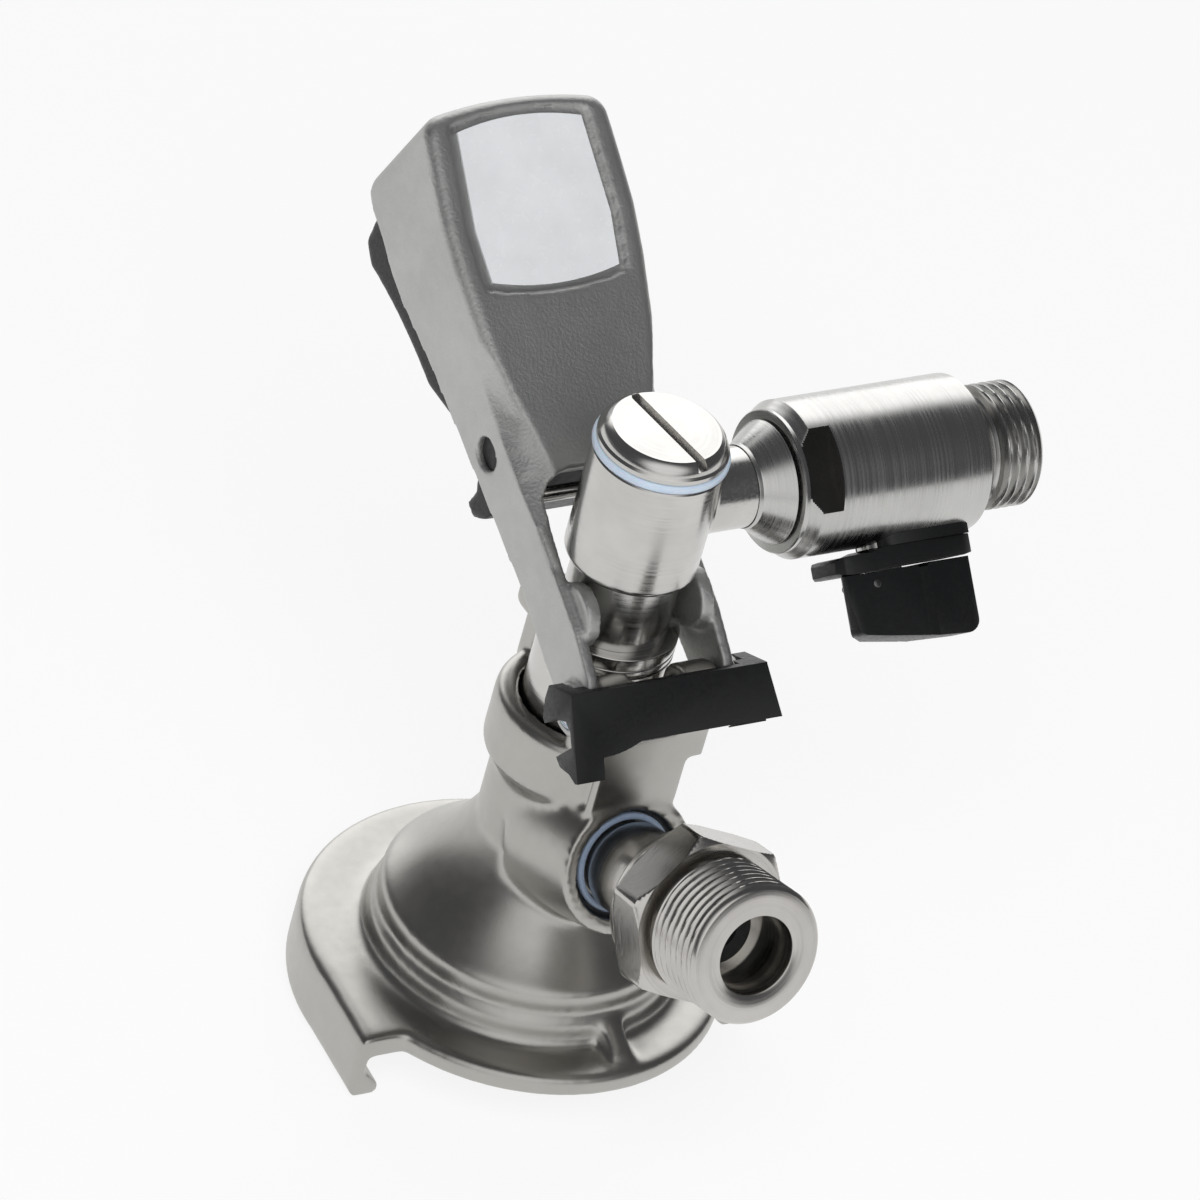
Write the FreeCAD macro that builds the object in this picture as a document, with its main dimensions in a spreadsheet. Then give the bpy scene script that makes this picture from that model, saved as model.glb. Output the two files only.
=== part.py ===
"""Keg coupler with a lever handle, a gas inlet and a beer outlet with a ball valve.

Frame, millimetres: +Z runs up the axis of the body, the origin is the centre of the
seating face that lies on the keg neck, +X is the outlet and the hinge axis, -Y is the
front with the gas inlet and the hinge, +Y is the side over which the handle swings down.
"""
import FreeCAD
import Part
import Sketcher
import math
import os
import re

Vector = FreeCAD.Vector
Rotation = FreeCAD.Rotation
Placement = FreeCAD.Placement

doc = FreeCAD.newDocument("KegCoupler")
sheet = doc.addObject("Spreadsheet::Sheet", "Sizes")

# Driving dimensions in millimetres and degrees
SIZES = {
    # Clearances
    "RunGap": 0.35,
    "SeatGap": 0.05,
    # Base plate and the slide that hooks under the keg neck
    "RimRadius": 38.3,
    "RimHeight": 4.4,
    "RimBevel": 0.8,
    "StepRadius": 29.1,
    "StepHeight": 9.9,
    "StepRound": 1.3,
    "StepFootRound": 2.2,
    "GrooveRadius": 27.5,
    "ConeFootRadius": 27.9,
    "ConeFootHeight": 14.9,
    "BeadHeight": 3.0,
    "ConeTopHeight": 33.0,
    "ConeHollow": 40.0,
    "SkirtRadius": 41.0,
    "SkirtTop": 4.5,
    "SkirtFoot": 9.5,
    "SkirtRound": 1.8,
    "SkirtFootRound": 2.4,
    "LegEnd": 18.0,
    "LegSpread": 1.4,
    "SlotRadius": 38.4,
    "SlotHeight": 4.6,
    "LipRadius": 35.0,
    "LipBevel": 2.6,
    "LipNoseRound": 1.5,
    "NeckRecessRadius": 20.5,
    "NeckRecessDepth": 2.6,
    "FrontRibAt": 2.6,
    "FrontRibWidth": 4.6,
    "FrontRibStart": 24.0,
    "FrontRibEnd": 36.0,
    "FrontRibHeight": 10.8,
    # Barrel and collar
    "BarrelRadius": 14.3,
    "CollarRadius": 16.9,
    "CollarFoot": 50.2,
    "CollarFlare": 3.4,
    "CollarTop": 62.4,
    "CollarRound": 2.0,
    "PartingHeight": 55.0,
    "PartingDepth": 0.35,
    "PartingWidth": 0.8,
    "GlandRadius": 12.8,
    "GlandFoot": 26.0,
    "GasRoomRadius": 11.0,
    # Hinge lugs on the body
    "HingeY": -16.5,
    "HingeZ": 76.0,
    "LugRadius": 5.1,
    "LugInner": 5.0,
    "LugOuter": 12.5,
    "PillarHalfWidth": 9.0,
    "PillarFront": 20.4,
    "PillarFoot": 44.0,
    "PillarTop": 68.0,
    "PillarGrooveWidth": 2.2,
    "PillarGrooveDepth": 1.4,
    "HingePinRadius": 2.4,
    # Rear catch post
    "PostHalfWidth": 5.2,
    "PostHeadHalfWidth": 7.6,
    "PostFront": 13.2,
    "PostBack": 17.9,
    "PostHeadBack": 19.0,
    "PostFoot": 57.0,
    "PostHeadFoot": 71.0,
    "PostTop": 76.4,
    "PostEyeRadius": 1.6,
    "PostEyeHeight": 60.4,
    # Gas inlet, along an axis that rises from the body
    "GasAxisHeight": 34.5,
    "GasTilt": 18.3,
    "GasBossRadius": 13.4,
    "GasBossRootRadius": 15.2,
    "GasBossRoot": 6.0,
    "GasBossFace": 25.6,
    "GasSeatRadius": 10.6,
    "GasSeatDepth": 3.0,
    "GasTapRadius": 8.2,
    "GasTapDepth": 9.6,
    "GasPortRadius": 3.8,
    "GasNeckRadius": 8.7,
    "GasHexRadius": 17.05,
    "GasHexBack": 47.5,
    "GasHexFront": 53.4,
    "GasHexTurn": 8.6,
    "GasHexBevel": 1.3,
    "GasThreadRadius": 13.22,
    "GasReliefRadius": 11.9,
    "GasReliefLength": 1.4,
    "GasFace": 68.6,
    "GasFaceRadius": 12.5,
    "GasBoreRadius": 7.45,
    "GasBoreDepth": 12.0,
    "GasShoulderRadius": 6.3,
    "GasPassRadius": 4.6,
    "GasSealRadius": 10.1,
    "GasSealWidth": 2.6,
    "GasCheckLength": 8.0,
    "GasCheckLip": 1.1,
    # Probe: plunger, ring, seals
    "PlungerRadius": 12.35,
    "PlungerTop": 76.9,
    "PlungerFoot": 50.0,
    "RingTop": 80.9,
    "RingRound": 0.5,
    "ShadowGap": 0.5,
    "ShadowGapDepth": 0.6,
    "TubeRadius": 7.6,
    "TubeFoot": 2.2,
    "BeerBoreRadius": 5.0,
    "OringThickness": 2.4,
    "OringSpacing": 4.4,
    "OringHighest": 59.4,
    "ProbeSealRadius": 10.2,
    "ProbeSealHeight": 5.4,
    "ProbeSealFoot": 0.6,
    "ProbeSealWaist": 6.5,
    "BodySealRadius": 19.9,
    "BodySealBore": 13.0,
    "BodySealProud": 0.7,
    # Elbow, cap and check ball
    "NeckRadius": 10.1,
    "NeckSpigotRadius": 7.6,
    "NeckSpigotLength": 14.0,
    "ElbowRadius": 12.2,
    "ElbowFootBelow": 12.7,
    "ElbowFootRound": 1.6,
    "ElbowTopAbove": 11.3,
    "ChamberRadius": 7.4,
    "ChamberFootBelow": 7.9,
    "BallRadius": 6.2,
    "CapRimRadius": 12.0,
    "CapTopRadius": 9.95,
    "CapRise": 5.5,
    "CapEdgeRise": 3.3,
    "CapPlugRadius": 8.5,
    "CapPlugLength": 7.0,
    "CapSlotWidth": 2.0,
    "CapSlotDepth": 1.5,
    "CapSlotTurn": 8.0,
    "CapSealRadius": 12.65,
    "CapSealHeight": 1.9,
    # Outlet and ball valve, along X
    "OutletHeight": 107.3,
    "StubRadius": 7.4,
    "StubBore": 4.6,
    "StubEnd": 19.0,
    "ConeEnd": 25.0,
    "ConeEndRadius": 11.2,
    "TailSpigotRadius": 9.6,
    "TailSpigotEnd": 33.0,
    "ValveStart": 25.4,
    "ValveRingRadius": 13.0,
    "ValveRingWidth": 0.9,
    "ValveShoulder": 28.2,
    "ValveRadius": 14.4,
    "ValveEnd": 65.1,
    "ValveBevel": 1.3,
    "ValveRoll": 45.0,
    "ValveBore": 6.5,
    "FlatStart": 26.3,
    "FlatEnd": 32.6,
    "FlatDistance": 12.15,
    "BallCentre": 46.0,
    "ValveBallRadius": 9.6,
    "SeatThickness": 2.6,
    "EndSpigotRadius": 10.4,
    "EndReliefRadius": 9.8,
    "EndReliefLength": 2.6,
    "EndThreadRadius": 11.46,
    "EndThreadBevel": 1.1,
    "OutletEnd": 77.4,
    # Valve lever
    "StemRadius": 4.0,
    "StemSeatRadius": 7.0,
    "StemSeatDistance": 13.2,
    "LeverTop": 14.9,
    "LeverPlateThickness": 4.2,
    "LeverPlateStart": 29.4,
    "LeverPlateEnd": 62.8,
    "LeverHalfWidth": 6.2,
    "GripStart": 34.0,
    "GripFoot": 31.4,
    "GripRound": 3.0,
    "LeverPinRadius": 1.1,
    "LeverPinAt": 39.0,
    # Handle, in its own frame: length from the hinge, height square to it
    "HandleAngle": 38.0,
    "ArmInner": 12.9,
    "ArmOuter": 15.2,
    "EyeRadius": 5.0,
    "EyeOuter": 17.3,
    "PinHeadOuter": 17.6,
    "HandleLength": 108.7,
    "HandleCrown": 2.0,
    "HandleMaxHalf": 20.0,
    "HandleMaxAt": 88.0,
    "EndLean": 11.5,
    "TopNarrowing": 1.3,
    "WaistNarrowing": 2.8,
    "HandleWaistAt": 60.0,
    "FaceHeight": 3.5,
    "FaceRound": 2.2,
    "CornerRound": 4.5,
    "WallThickness": 2.5,
    "GripDepth": 22.0,
    "GripBackEnd": 105.8,
    "ArmKnee": 24.0,
    "CrotchAt": 42.0,
    "CrotchRound": 6.0,
    "TongueHalf": 9.8,
    "ThroatRoof": -0.4,
    "RecessDepth": 0.8,
    "RecessNarrowing": 4.4,
    "RecessTopNarrowing": 5.6,
    "RecessTopMargin": 2.3,
    "RecessLength": 31.8,
    "RecessCrown": 1.7,
    "LabelMargin": 0.9,
    "LabelThickness": 0.5,
    "BossAt": 16.1,
    "BossHeight": 2.26,
    "BossRadius": 5.9,
    "BossInner": 10.5,
    "TriggerPinAt": 48.8,
    "TriggerPinHeight": -7.8,
    "TriggerPinRadius": 3.1,
    "TriggerPinRecess": 1.0,
    "TriggerSideGap": 0.5,
    "TriggerBack": 36.6,
    "TriggerTop": 100.0,
    "TriggerShell": 2.4,
    "LatchBarAt": 39.6,
    "LatchBarHeight": -5.6,
    "LatchBarRadius": 1.4,
    "LatchBarPlay": 0.7166667,
    # Hinge clip
    "ClipHalfWidth": 20.4,
    "ClipBand": 1.6,
    "ClipLean": 32.6,
    "ClipGap": 0.5,
    "ClipBandTop": 3.9,
    "ClipBandFoot": 6.3,
    "ClipColumnFoot": -12.1,
    "ClipColumnInner": 14.6,
    "ClipProngReach": 3.3,
    "ClipArch": 1.8,
    "ClipArchLength": 8.0,
    "ClipFlare": 2.4,
}

# Sizes that follow others
FOLLOWING = {
    "HandleTopHalf": "(HandleMaxHalf - TopNarrowing)",
    "HandleWaistHalf": "(HandleMaxHalf - WaistNarrowing)",
    "RecessHalf": "(HandleMaxHalf - RecessNarrowing)",
    "RecessTopHalf": "(HandleMaxHalf - RecessTopNarrowing)",
    "RecessTop": "(HandleLength - RecessTopMargin)",
    "RecessFoot": "(HandleLength - RecessTopMargin - RecessLength)",
    "ElbowFoot": "(OutletHeight - ElbowFootBelow)",
    "ElbowTop": "(OutletHeight + ElbowTopAbove)",
    "ChamberFoot": "(OutletHeight - ChamberFootBelow)",
    "CapTop": "(OutletHeight + ElbowTopAbove + CapRise)",
    "CapEdge": "(OutletHeight + ElbowTopAbove + CapEdgeRise)",
    "PlungerSkirt": "min(PlungerFoot; OringHighest - OringSpacing - OringThickness)",
    "ThroatAtBar": "(ArmOuter - WallThickness + (HandleMaxHalf - WaistNarrowing - ArmOuter)"
                   " * (LatchBarAt - ArmKnee) / (HandleWaistAt - ArmKnee))",
}


def fill_sheet():
    for row, (alias, value) in enumerate(SIZES.items(), start=1):
        sheet.set("A%d" % row, alias)
        sheet.set("B%d" % row, repr(value))
        sheet.setAlias("B%d" % row, alias)
    doc.recompute()


def ref(text):
    """An expression on the sheet: every capitalised word is one of its aliases."""
    spelled = re.sub(r"\b([A-Z][A-Za-z]+)\b", lambda m: FOLLOWING.get(m.group(1), m.group(1)), str(text))
    return re.sub(r"\b([A-Z][A-Za-z]+)\b", r"Sizes.\1", spelled)


def num(text):
    return float(sheet.evalExpression(ref(text)))


def plane(body, role):
    for item in body.Origin.OriginFeatures:
        if item.Role == role:
            return item
    raise KeyError(role)


def new_body(label):
    body = doc.addObject("PartDesign::Body", label)
    body.Label = label
    return body


def seat(item, y="0", z="0", turn="0"):
    """Places a body at (0, y, z), turned about X by an angle."""
    item.Placement = Placement(Vector(0, num(y), num(z)), Rotation(Vector(1, 0, 0), num(turn)))
    item.setExpression("Placement.Base.y", ref(y))
    item.setExpression("Placement.Base.z", ref(z))
    if turn != "0":
        item.setExpression("Placement.Rotation.Angle", ref("(%s) * 1 deg" % turn))


def arc_between(start, end, radius, side):
    """The arc from start to end; side +1 bulges to the right of the way, -1 to the left."""
    chord = end.sub(start)
    half = chord.Length / 2
    rise = radius - math.sqrt(max(radius ** 2 - half ** 2, 0))
    normal = Vector(chord.y, -chord.x, 0).normalize()
    middle = start.add(end).multiply(0.5).add(normal.multiply(side * rise))
    return Part.Arc(start, middle, end)


def add_loop(sketch, corners):
    """A closed outline; a corner is (x, y) or (x, y, radius, side) for an arc to the next."""
    first = sketch.GeometryCount
    count = len(corners)
    points = [Vector(num(c[0]), num(c[1]), 0) for c in corners]
    for i, corner in enumerate(corners):
        start = points[i]
        end = points[(i + 1) % count]
        if len(corner) == 2:
            sketch.addGeometry(Part.LineSegment(start, end), False)
        else:
            sketch.addGeometry(arc_between(start, end, num(corner[2]), corner[3]), False)
    ends = []
    for i, corner in enumerate(corners):
        # An arc that turns clockwise is stored from its end to its start
        turned = len(corner) == 4 and corner[3] < 0
        ends.append((2, 1) if turned else (1, 2))
    for i in range(count):
        after = (i + 1) % count
        sketch.addConstraint(Sketcher.Constraint(
            "Coincident", first + i, ends[i][1], first + after, ends[after][0]))
    for i, corner in enumerate(corners):
        for kind, value in (("DistanceX", corner[0]), ("DistanceY", corner[1])):
            index = sketch.addConstraint(Sketcher.Constraint(
                kind, -1, 1, first + i, ends[i][0], num(value)))
            if re.search("[A-Z]", str(value)):
                sketch.setExpression("Constraints[%d]" % index, ref(value))
        if len(corner) == 4:
            index = sketch.addConstraint(Sketcher.Constraint("Radius", first + i, num(corner[2])))
            if re.search("[A-Z]", str(corner[2])):
                sketch.setExpression("Constraints[%d]" % index, ref(corner[2]))


def add_circle(sketch, x, y, radius):
    index = sketch.addGeometry(Part.Circle(Vector(num(x), num(y), 0), Vector(0, 0, 1), num(radius)), False)
    for kind, value in (("DistanceX", x), ("DistanceY", y)):
        place = sketch.addConstraint(Sketcher.Constraint(kind, -1, 1, index, 3, num(value)))
        if re.search("[A-Z]", str(value)):
            sketch.setExpression("Constraints[%d]" % place, ref(value))
    place = sketch.addConstraint(Sketcher.Constraint("Radius", index, num(radius)))
    sketch.setExpression("Constraints[%d]" % place, ref(radius))


def draw(body, name, role, loops, offset="0"):
    """A sketch on one of the body's planes, moved along its normal by offset."""
    sketch = body.newObject("Sketcher::SketchObject", name + "_sketch")
    sketch.AttachmentSupport = [(plane(body, role), "")]
    sketch.MapMode = "FlatFace"
    if offset != "0":
        sketch.AttachmentOffset = Placement(Vector(0, 0, num(offset)), Rotation())
        sketch.setExpression("AttachmentOffset.Base.z", ref(offset))
    for loop in loops:
        if loop[0] == "circle":
            add_circle(sketch, *loop[1:])
        else:
            add_loop(sketch, loop)
    return sketch


def turned(body, name, role, loop, axis, kind="PartDesign::Revolution"):
    """A turned solid, or a turned cut when kind is a groove."""
    sketch = draw(body, name, role, [loop])
    feature = body.newObject(kind, name)
    feature.Profile = sketch
    feature.ReferenceAxis = (sketch, [axis])
    feature.Angle = 360
    doc.recompute()
    return feature


def pad(body, name, role, loops, length, offset="0", both=False, back=False):
    sketch = draw(body, name, role, loops, offset)
    feature = body.newObject("PartDesign::Pad", name)
    feature.Profile = sketch
    feature.Length = num(length)
    feature.setExpression("Length", ref(length))
    if both:
        feature.SideType = "Symmetric"
    feature.Reversed = back
    doc.recompute()
    return feature


def pocket(body, name, role, loops, length, offset="0", both=False, back=False):
    """A cut along the sketch's normal turned round, or along it when back is set."""
    before = body.Shape.Volume
    sketch = draw(body, name, role, loops, offset)
    feature = body.newObject("PartDesign::Pocket", name)
    feature.Profile = sketch
    feature.Length = num(length)
    feature.setExpression("Length", ref(length))
    if both:
        feature.SideType = "Symmetric"
    feature.Reversed = back
    doc.recompute()
    if body.Shape.Volume >= before - 1e-6:
        raise RuntimeError("%s in %s cuts nothing" % (name, body.Label))
    return feature


BEVEL = "PartDesign::Chamfer"


def soften(body, name, radius, wanted, kind="PartDesign::Fillet"):
    """Rounds or bevels the edges of the body that wanted picks."""
    doc.recompute()
    base = body.Tip
    names = ["Edge%d" % (i + 1) for i, edge in enumerate(base.Shape.Edges) if wanted(edge)]
    if not names:
        raise RuntimeError("%s in %s finds no edge" % (name, body.Label))
    feature = body.newObject(kind, name)
    feature.Base = (base, names)
    field = "Radius" if kind.endswith("Fillet") else "Size"
    setattr(feature, field, num(radius))
    feature.setExpression(field, ref(radius))
    doc.recompute()
    return feature


fill_sheet()


# Body casting: base plate, slide, barrel, collar, hinge lugs and gas boss

def base_outline():
    """Half section of the body: the base plate with its two steps, cone, barrel, collar."""
    return [
        ("GlandRadius", "CollarTop"),
        ("GlandRadius", "GlandFoot"),
        ("GasRoomRadius", "GlandFoot"),
        ("GasRoomRadius", "0"),
        ("RimRadius - RimBevel", "0"),
        ("RimRadius", "RimBevel"),
        ("RimRadius", "RimHeight - RimBevel"),
        ("RimRadius - RimBevel", "RimHeight"),
        ("StepRadius + StepFootRound", "RimHeight", "StepFootRound", -1),
        ("StepRadius", "RimHeight + StepFootRound"),
        ("StepRadius", "StepHeight - StepRound", "StepRound", 1),
        ("StepRadius - StepRound", "StepHeight"),
        ("GrooveRadius", "StepHeight + (ConeFootHeight - BeadHeight - StepHeight) / 2"),
        ("ConeFootRadius", "ConeFootHeight - BeadHeight + 0.4"),
        ("ConeFootRadius", "ConeFootHeight", "ConeHollow", -1),
        ("BarrelRadius", "ConeTopHeight"),
        ("BarrelRadius", "CollarFoot - CollarFlare"),
        ("CollarRadius", "CollarFoot"),
        ("CollarRadius", "PartingHeight - PartingWidth / 2"),
        ("CollarRadius - PartingDepth", "PartingHeight"),
        ("CollarRadius", "PartingHeight + PartingWidth / 2"),
        ("CollarRadius", "CollarTop - CollarRound", "CollarRound", 1),
        ("CollarRadius - CollarRound", "CollarTop"),
    ]


def slide_outline(radius):
    """Half disc at the back with straight sides that run to the leg ends."""
    return [
        ("%s + LegSpread" % radius, "-LegEnd"),
        ("%s" % radius, "0", radius, 1),
        ("0", "%s" % radius, radius, 1),
        ("-(%s)" % radius, "0"),
        ("-(%s) - LegSpread" % radius, "-LegEnd"),
    ]


def slide_cut(radius):
    """The same outline, open to the front past the leg ends."""
    outline = slide_outline(radius)
    past = "2 * LegSpread"
    outline[0] = ("%s + %s" % (radius, past), "-2 * LegEnd")
    outline[4] = ("-(%s) - %s" % (radius, past), "-2 * LegEnd")
    return outline


def make_body_casting():
    body = new_body("body_casting")
    turned(body, "base", "XZ_Plane", base_outline(), "V_Axis")
    pad(body, "skirt", "XY_Plane", [slide_outline("SkirtRadius")], "SkirtTop + SkirtFoot",
        offset="-SkirtFoot")
    pocket(body, "slot", "XY_Plane", [slide_cut("SlotRadius")], "SlotHeight", offset="0")
    pocket(body, "lips", "XY_Plane", [slide_cut("LipRadius")], "SkirtFoot - SlotHeight + 1",
           offset="-SlotHeight")
    soften(body, "lip_bevel", "LipBevel", on_skirt_edge("LipRadius", "-SlotHeight"), BEVEL)
    soften(body, "lip_nose", "LipNoseRound", on_skirt_edge("LipRadius", "-SkirtFoot"))
    soften(body, "skirt_round", "SkirtRound", on_skirt_edge("SkirtRadius", "SkirtTop"))
    soften(body, "skirt_foot_round", "SkirtFootRound", on_skirt_edge("SkirtRadius", "-SkirtFoot"))
    pad(body, "front_rib", "YZ_Plane", [[
        ("-FrontRibEnd", "RimHeight - 1"),
        ("-FrontRibStart", "RimHeight - 1"),
        ("-FrontRibStart", "FrontRibHeight"),
        ("-FrontRibStart - 2", "FrontRibHeight"),
        ("-FrontRibEnd + 1", "RimHeight + 1.6"),
        ("-FrontRibEnd", "RimHeight + 0.4"),
    ]], "FrontRibWidth", offset="FrontRibAt - FrontRibWidth / 2")
    add_gas_boss(body)
    add_hinge_lugs(body)
    add_catch_post(body)
    pocket(body, "gland", "XY_Plane", [("circle", "0", "0", "GlandRadius")],
           "HingeZ + LugRadius + 4 - GlandFoot", offset="HingeZ + LugRadius + 4")
    pocket(body, "gas_room", "XY_Plane", [("circle", "0", "0", "GasRoomRadius")],
           "GlandFoot + 2", offset="GlandFoot + 1")
    pocket(body, "neck_recess", "XY_Plane", [("circle", "0", "0", "NeckRecessRadius")],
           "NeckRecessDepth", back=True)
    cut_gas_port(body)
    return body


def on_skirt_edge(radius, height):
    """Picks the edges that run along the skirt's outline of a radius at a height."""
    def wanted(edge):
        box = edge.BoundBox
        level = abs(box.ZMin - num(height)) < 0.01 and abs(box.ZMax - num(height)) < 0.01
        middle = edge.valueAt((edge.FirstParameter + edge.LastParameter) / 2)
        spread = max(-middle.y, 0) / num("LegEnd") * num("LegSpread")
        out = math.hypot(middle.x, middle.y) if middle.y > 0 else abs(middle.x) - spread
        return level and abs(out - num(radius)) < 0.2 and box.DiagonalLength > num("LegEnd") / 2
    return wanted


def gas_sketch(body, name, loops, distance):
    """A sketch square to the gas axis at a distance from the body axis."""
    sketch = body.newObject("Sketcher::SketchObject", name + "_sketch")
    sketch.AttachmentSupport = [(plane(body, "XZ_Plane"), "")]
    sketch.MapMode = "FlatFace"
    tilt = Rotation(Vector(1, 0, 0), num("-GasTilt"))
    sketch.AttachmentOffset = Placement(
        Vector(0, num("GasAxisHeight + (%s) * sin(GasTilt * 1 deg)" % distance),
               num("(%s) * cos(GasTilt * 1 deg)" % distance)), tilt)
    sketch.setExpression("AttachmentOffset.Base.y",
                         ref("GasAxisHeight + (%s) * sin(GasTilt * 1 deg)" % distance))
    sketch.setExpression("AttachmentOffset.Base.z", ref("(%s) * cos(GasTilt * 1 deg)" % distance))
    sketch.setExpression("AttachmentOffset.Rotation.Angle", ref("-GasTilt * 1 deg"))
    for loop in loops:
        add_circle(sketch, *loop[1:])
    return sketch


def add_gas_boss(body):
    sketch = gas_sketch(body, "gas_boss", [("circle", "0", "0", "GasBossRadius")], "GasBossFace")
    boss = body.newObject("PartDesign::Pad", "gas_boss")
    boss.Profile = sketch
    boss.Length = num("GasBossFace - GasBossRoot")
    boss.setExpression("Length", ref("GasBossFace - GasBossRoot"))
    boss.TaperAngle = num("atan((GasBossRootRadius - GasBossRadius) / (GasBossFace - GasBossRoot))")
    boss.setExpression("TaperAngle", ref(
        "atan((GasBossRootRadius - GasBossRadius) / (GasBossFace - GasBossRoot))"))
    boss.Reversed = True
    doc.recompute()


def cut_gas_port(body):
    steps = (("gas_seat", "GasSeatRadius", "GasBossFace", "GasSeatDepth"),
             ("gas_tap", "GasTapRadius", "GasBossFace", "GasTapDepth"),
             ("gas_port", "GasPortRadius", "GasBossFace", "GasBossFace"))
    for name, radius, distance, depth in steps:
        sketch = gas_sketch(body, name, [("circle", "0", "0", radius)], distance)
        before = body.Shape.Volume
        cut = body.newObject("PartDesign::Pocket", name)
        cut.Profile = sketch
        cut.Length = num(depth)
        cut.setExpression("Length", ref(depth))
        doc.recompute()
        if body.Shape.Volume >= before - 1e-6:
            raise RuntimeError("%s cuts nothing" % name)


def add_hinge_lugs(body):
    """A pillar in front of the collar that carries two lugs with the hinge holes."""
    pad(body, "pillar", "YZ_Plane", [[
        ("-PillarFront + 5", "PillarFoot"),
        ("-PillarFront", "PillarFoot + 9"),
        ("-PillarFront", "PillarTop"),
        ("-BarrelRadius + 4", "PillarTop"),
        ("-BarrelRadius + 4", "PillarFoot"),
    ]], "2 * PillarHalfWidth", both=True)
    pad(body, "lugs", "YZ_Plane", [[
        ("HingeY - LugRadius", "HingeZ", "LugRadius", -1),
        ("HingeY", "HingeZ + LugRadius", "LugRadius", -1),
        ("HingeY + LugRadius", "HingeZ"),
        ("HingeY + LugRadius", "PillarTop - 5"),
        ("-PillarFront", "PillarTop - 5"),
        ("-PillarFront", "PillarTop + 1"),
    ]], "2 * LugOuter", both=True)
    pocket(body, "lug_gap", "XZ_Plane", [[
        ("-LugInner", "PillarTop + 1.5"),
        ("LugInner", "PillarTop + 1.5"),
        ("LugInner", "HingeZ + LugRadius + 1"),
        ("-LugInner", "HingeZ + LugRadius + 1"),
    ]], "PillarFront + LugRadius + 4", back=True)
    pocket(body, "hinge_hole", "YZ_Plane",
           [("circle", "HingeY", "HingeZ", "HingePinRadius + SeatGap")], "2 * LugOuter + 2", both=True)
    for side in (-1, 1):
        pocket(body, "pillar_groove_%s" % ("left" if side < 0 else "right"), "YZ_Plane", [[
            ("-PillarFront + 1.8", "PillarFoot + 8"),
            ("-PillarFront + 1.8 + PillarGrooveWidth", "PillarFoot + 8"),
            ("-PillarFront + 1.8 + PillarGrooveWidth", "PillarTop - 6"),
            ("-PillarFront + 1.8", "PillarTop - 6"),
        ]], "PillarGrooveDepth", offset="%d * PillarHalfWidth" % side, back=side < 0)


def add_catch_post(body):
    """A post with a wider head at the back of the collar, for the handle's latch."""
    pad(body, "post", "YZ_Plane", [[
        ("PostFront", "PostFoot"),
        ("PostBack", "PostFoot + 2"),
        ("PostBack", "PostTop"),
        ("PostFront", "PostTop"),
    ]], "2 * PostHalfWidth", both=True)
    pad(body, "post_head", "YZ_Plane", [[
        ("PostFront", "PostHeadFoot"),
        ("PostBack", "PostHeadFoot"),
        ("PostHeadBack", "PostHeadFoot + 1"),
        ("PostHeadBack", "PostTop - 1"),
        ("PostBack", "PostTop"),
        ("PostFront", "PostTop"),
    ]], "2 * PostHeadHalfWidth", both=True)


make_body_casting()


# Seals on and in the body

def ring_loop(inner, outer, foot, top):
    return [(inner, foot), (outer, foot), (outer, top), (inner, top)]


def make_body_seal():
    """Rubber washer in the underside that meets the keg neck."""
    body = new_body("body_seal")
    turned(body, "washer", "XZ_Plane", [
        ("BodySealBore", "NeckRecessDepth - SeatGap"),
        ("BodySealBore", "-BodySealProud + 0.5"),
        ("BodySealBore + 0.5", "-BodySealProud"),
        ("BodySealRadius - 1.2", "-BodySealProud"),
        ("BodySealRadius", "0.5"),
        ("BodySealRadius", "NeckRecessDepth - SeatGap"),
    ], "V_Axis")


make_body_seal()


# Probe: plunger with its beer tube, swivel ring and seals

def oring_groove(centre):
    """Corners of a groove in the plunger's wall, from the top down."""
    return [
        ("PlungerRadius", "%s + OringThickness / 2 + 0.1" % centre),
        ("PlungerRadius - OringThickness + RunGap", "%s + OringThickness / 2 + 0.1" % centre),
        ("PlungerRadius - OringThickness + RunGap", "%s - OringThickness / 2 - 0.1" % centre),
        ("PlungerRadius", "%s - OringThickness / 2 - 0.1" % centre),
    ]


ORING_PLACES = ("OringHighest", "(OringHighest - OringSpacing)")


def make_plunger():
    body = new_body("probe_plunger")
    loop = [
        ("NeckSpigotRadius + SeatGap", "PlungerTop"),
        ("PlungerRadius - ShadowGapDepth", "PlungerTop"),
        ("PlungerRadius - ShadowGapDepth", "PlungerTop - ShadowGap"),
        ("PlungerRadius", "PlungerTop - ShadowGap"),
    ]
    for centre in ORING_PLACES:
        loop += oring_groove(centre)
    loop += [
        ("PlungerRadius", "PlungerSkirt + 1.5"),
        ("PlungerRadius - 1.5", "PlungerSkirt"),
        ("TubeRadius", "PlungerSkirt"),
        ("TubeRadius", "ProbeSealFoot + ProbeSealHeight"),
        ("ProbeSealWaist", "ProbeSealFoot + ProbeSealHeight"),
        ("ProbeSealWaist", "TubeFoot"),
        ("BeerBoreRadius", "TubeFoot"),
        ("BeerBoreRadius", "RingTop - NeckSpigotLength - 1"),
        ("NeckSpigotRadius + SeatGap", "RingTop - NeckSpigotLength - 1"),
    ]
    turned(body, "plunger", "XZ_Plane", loop, "V_Axis")


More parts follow.
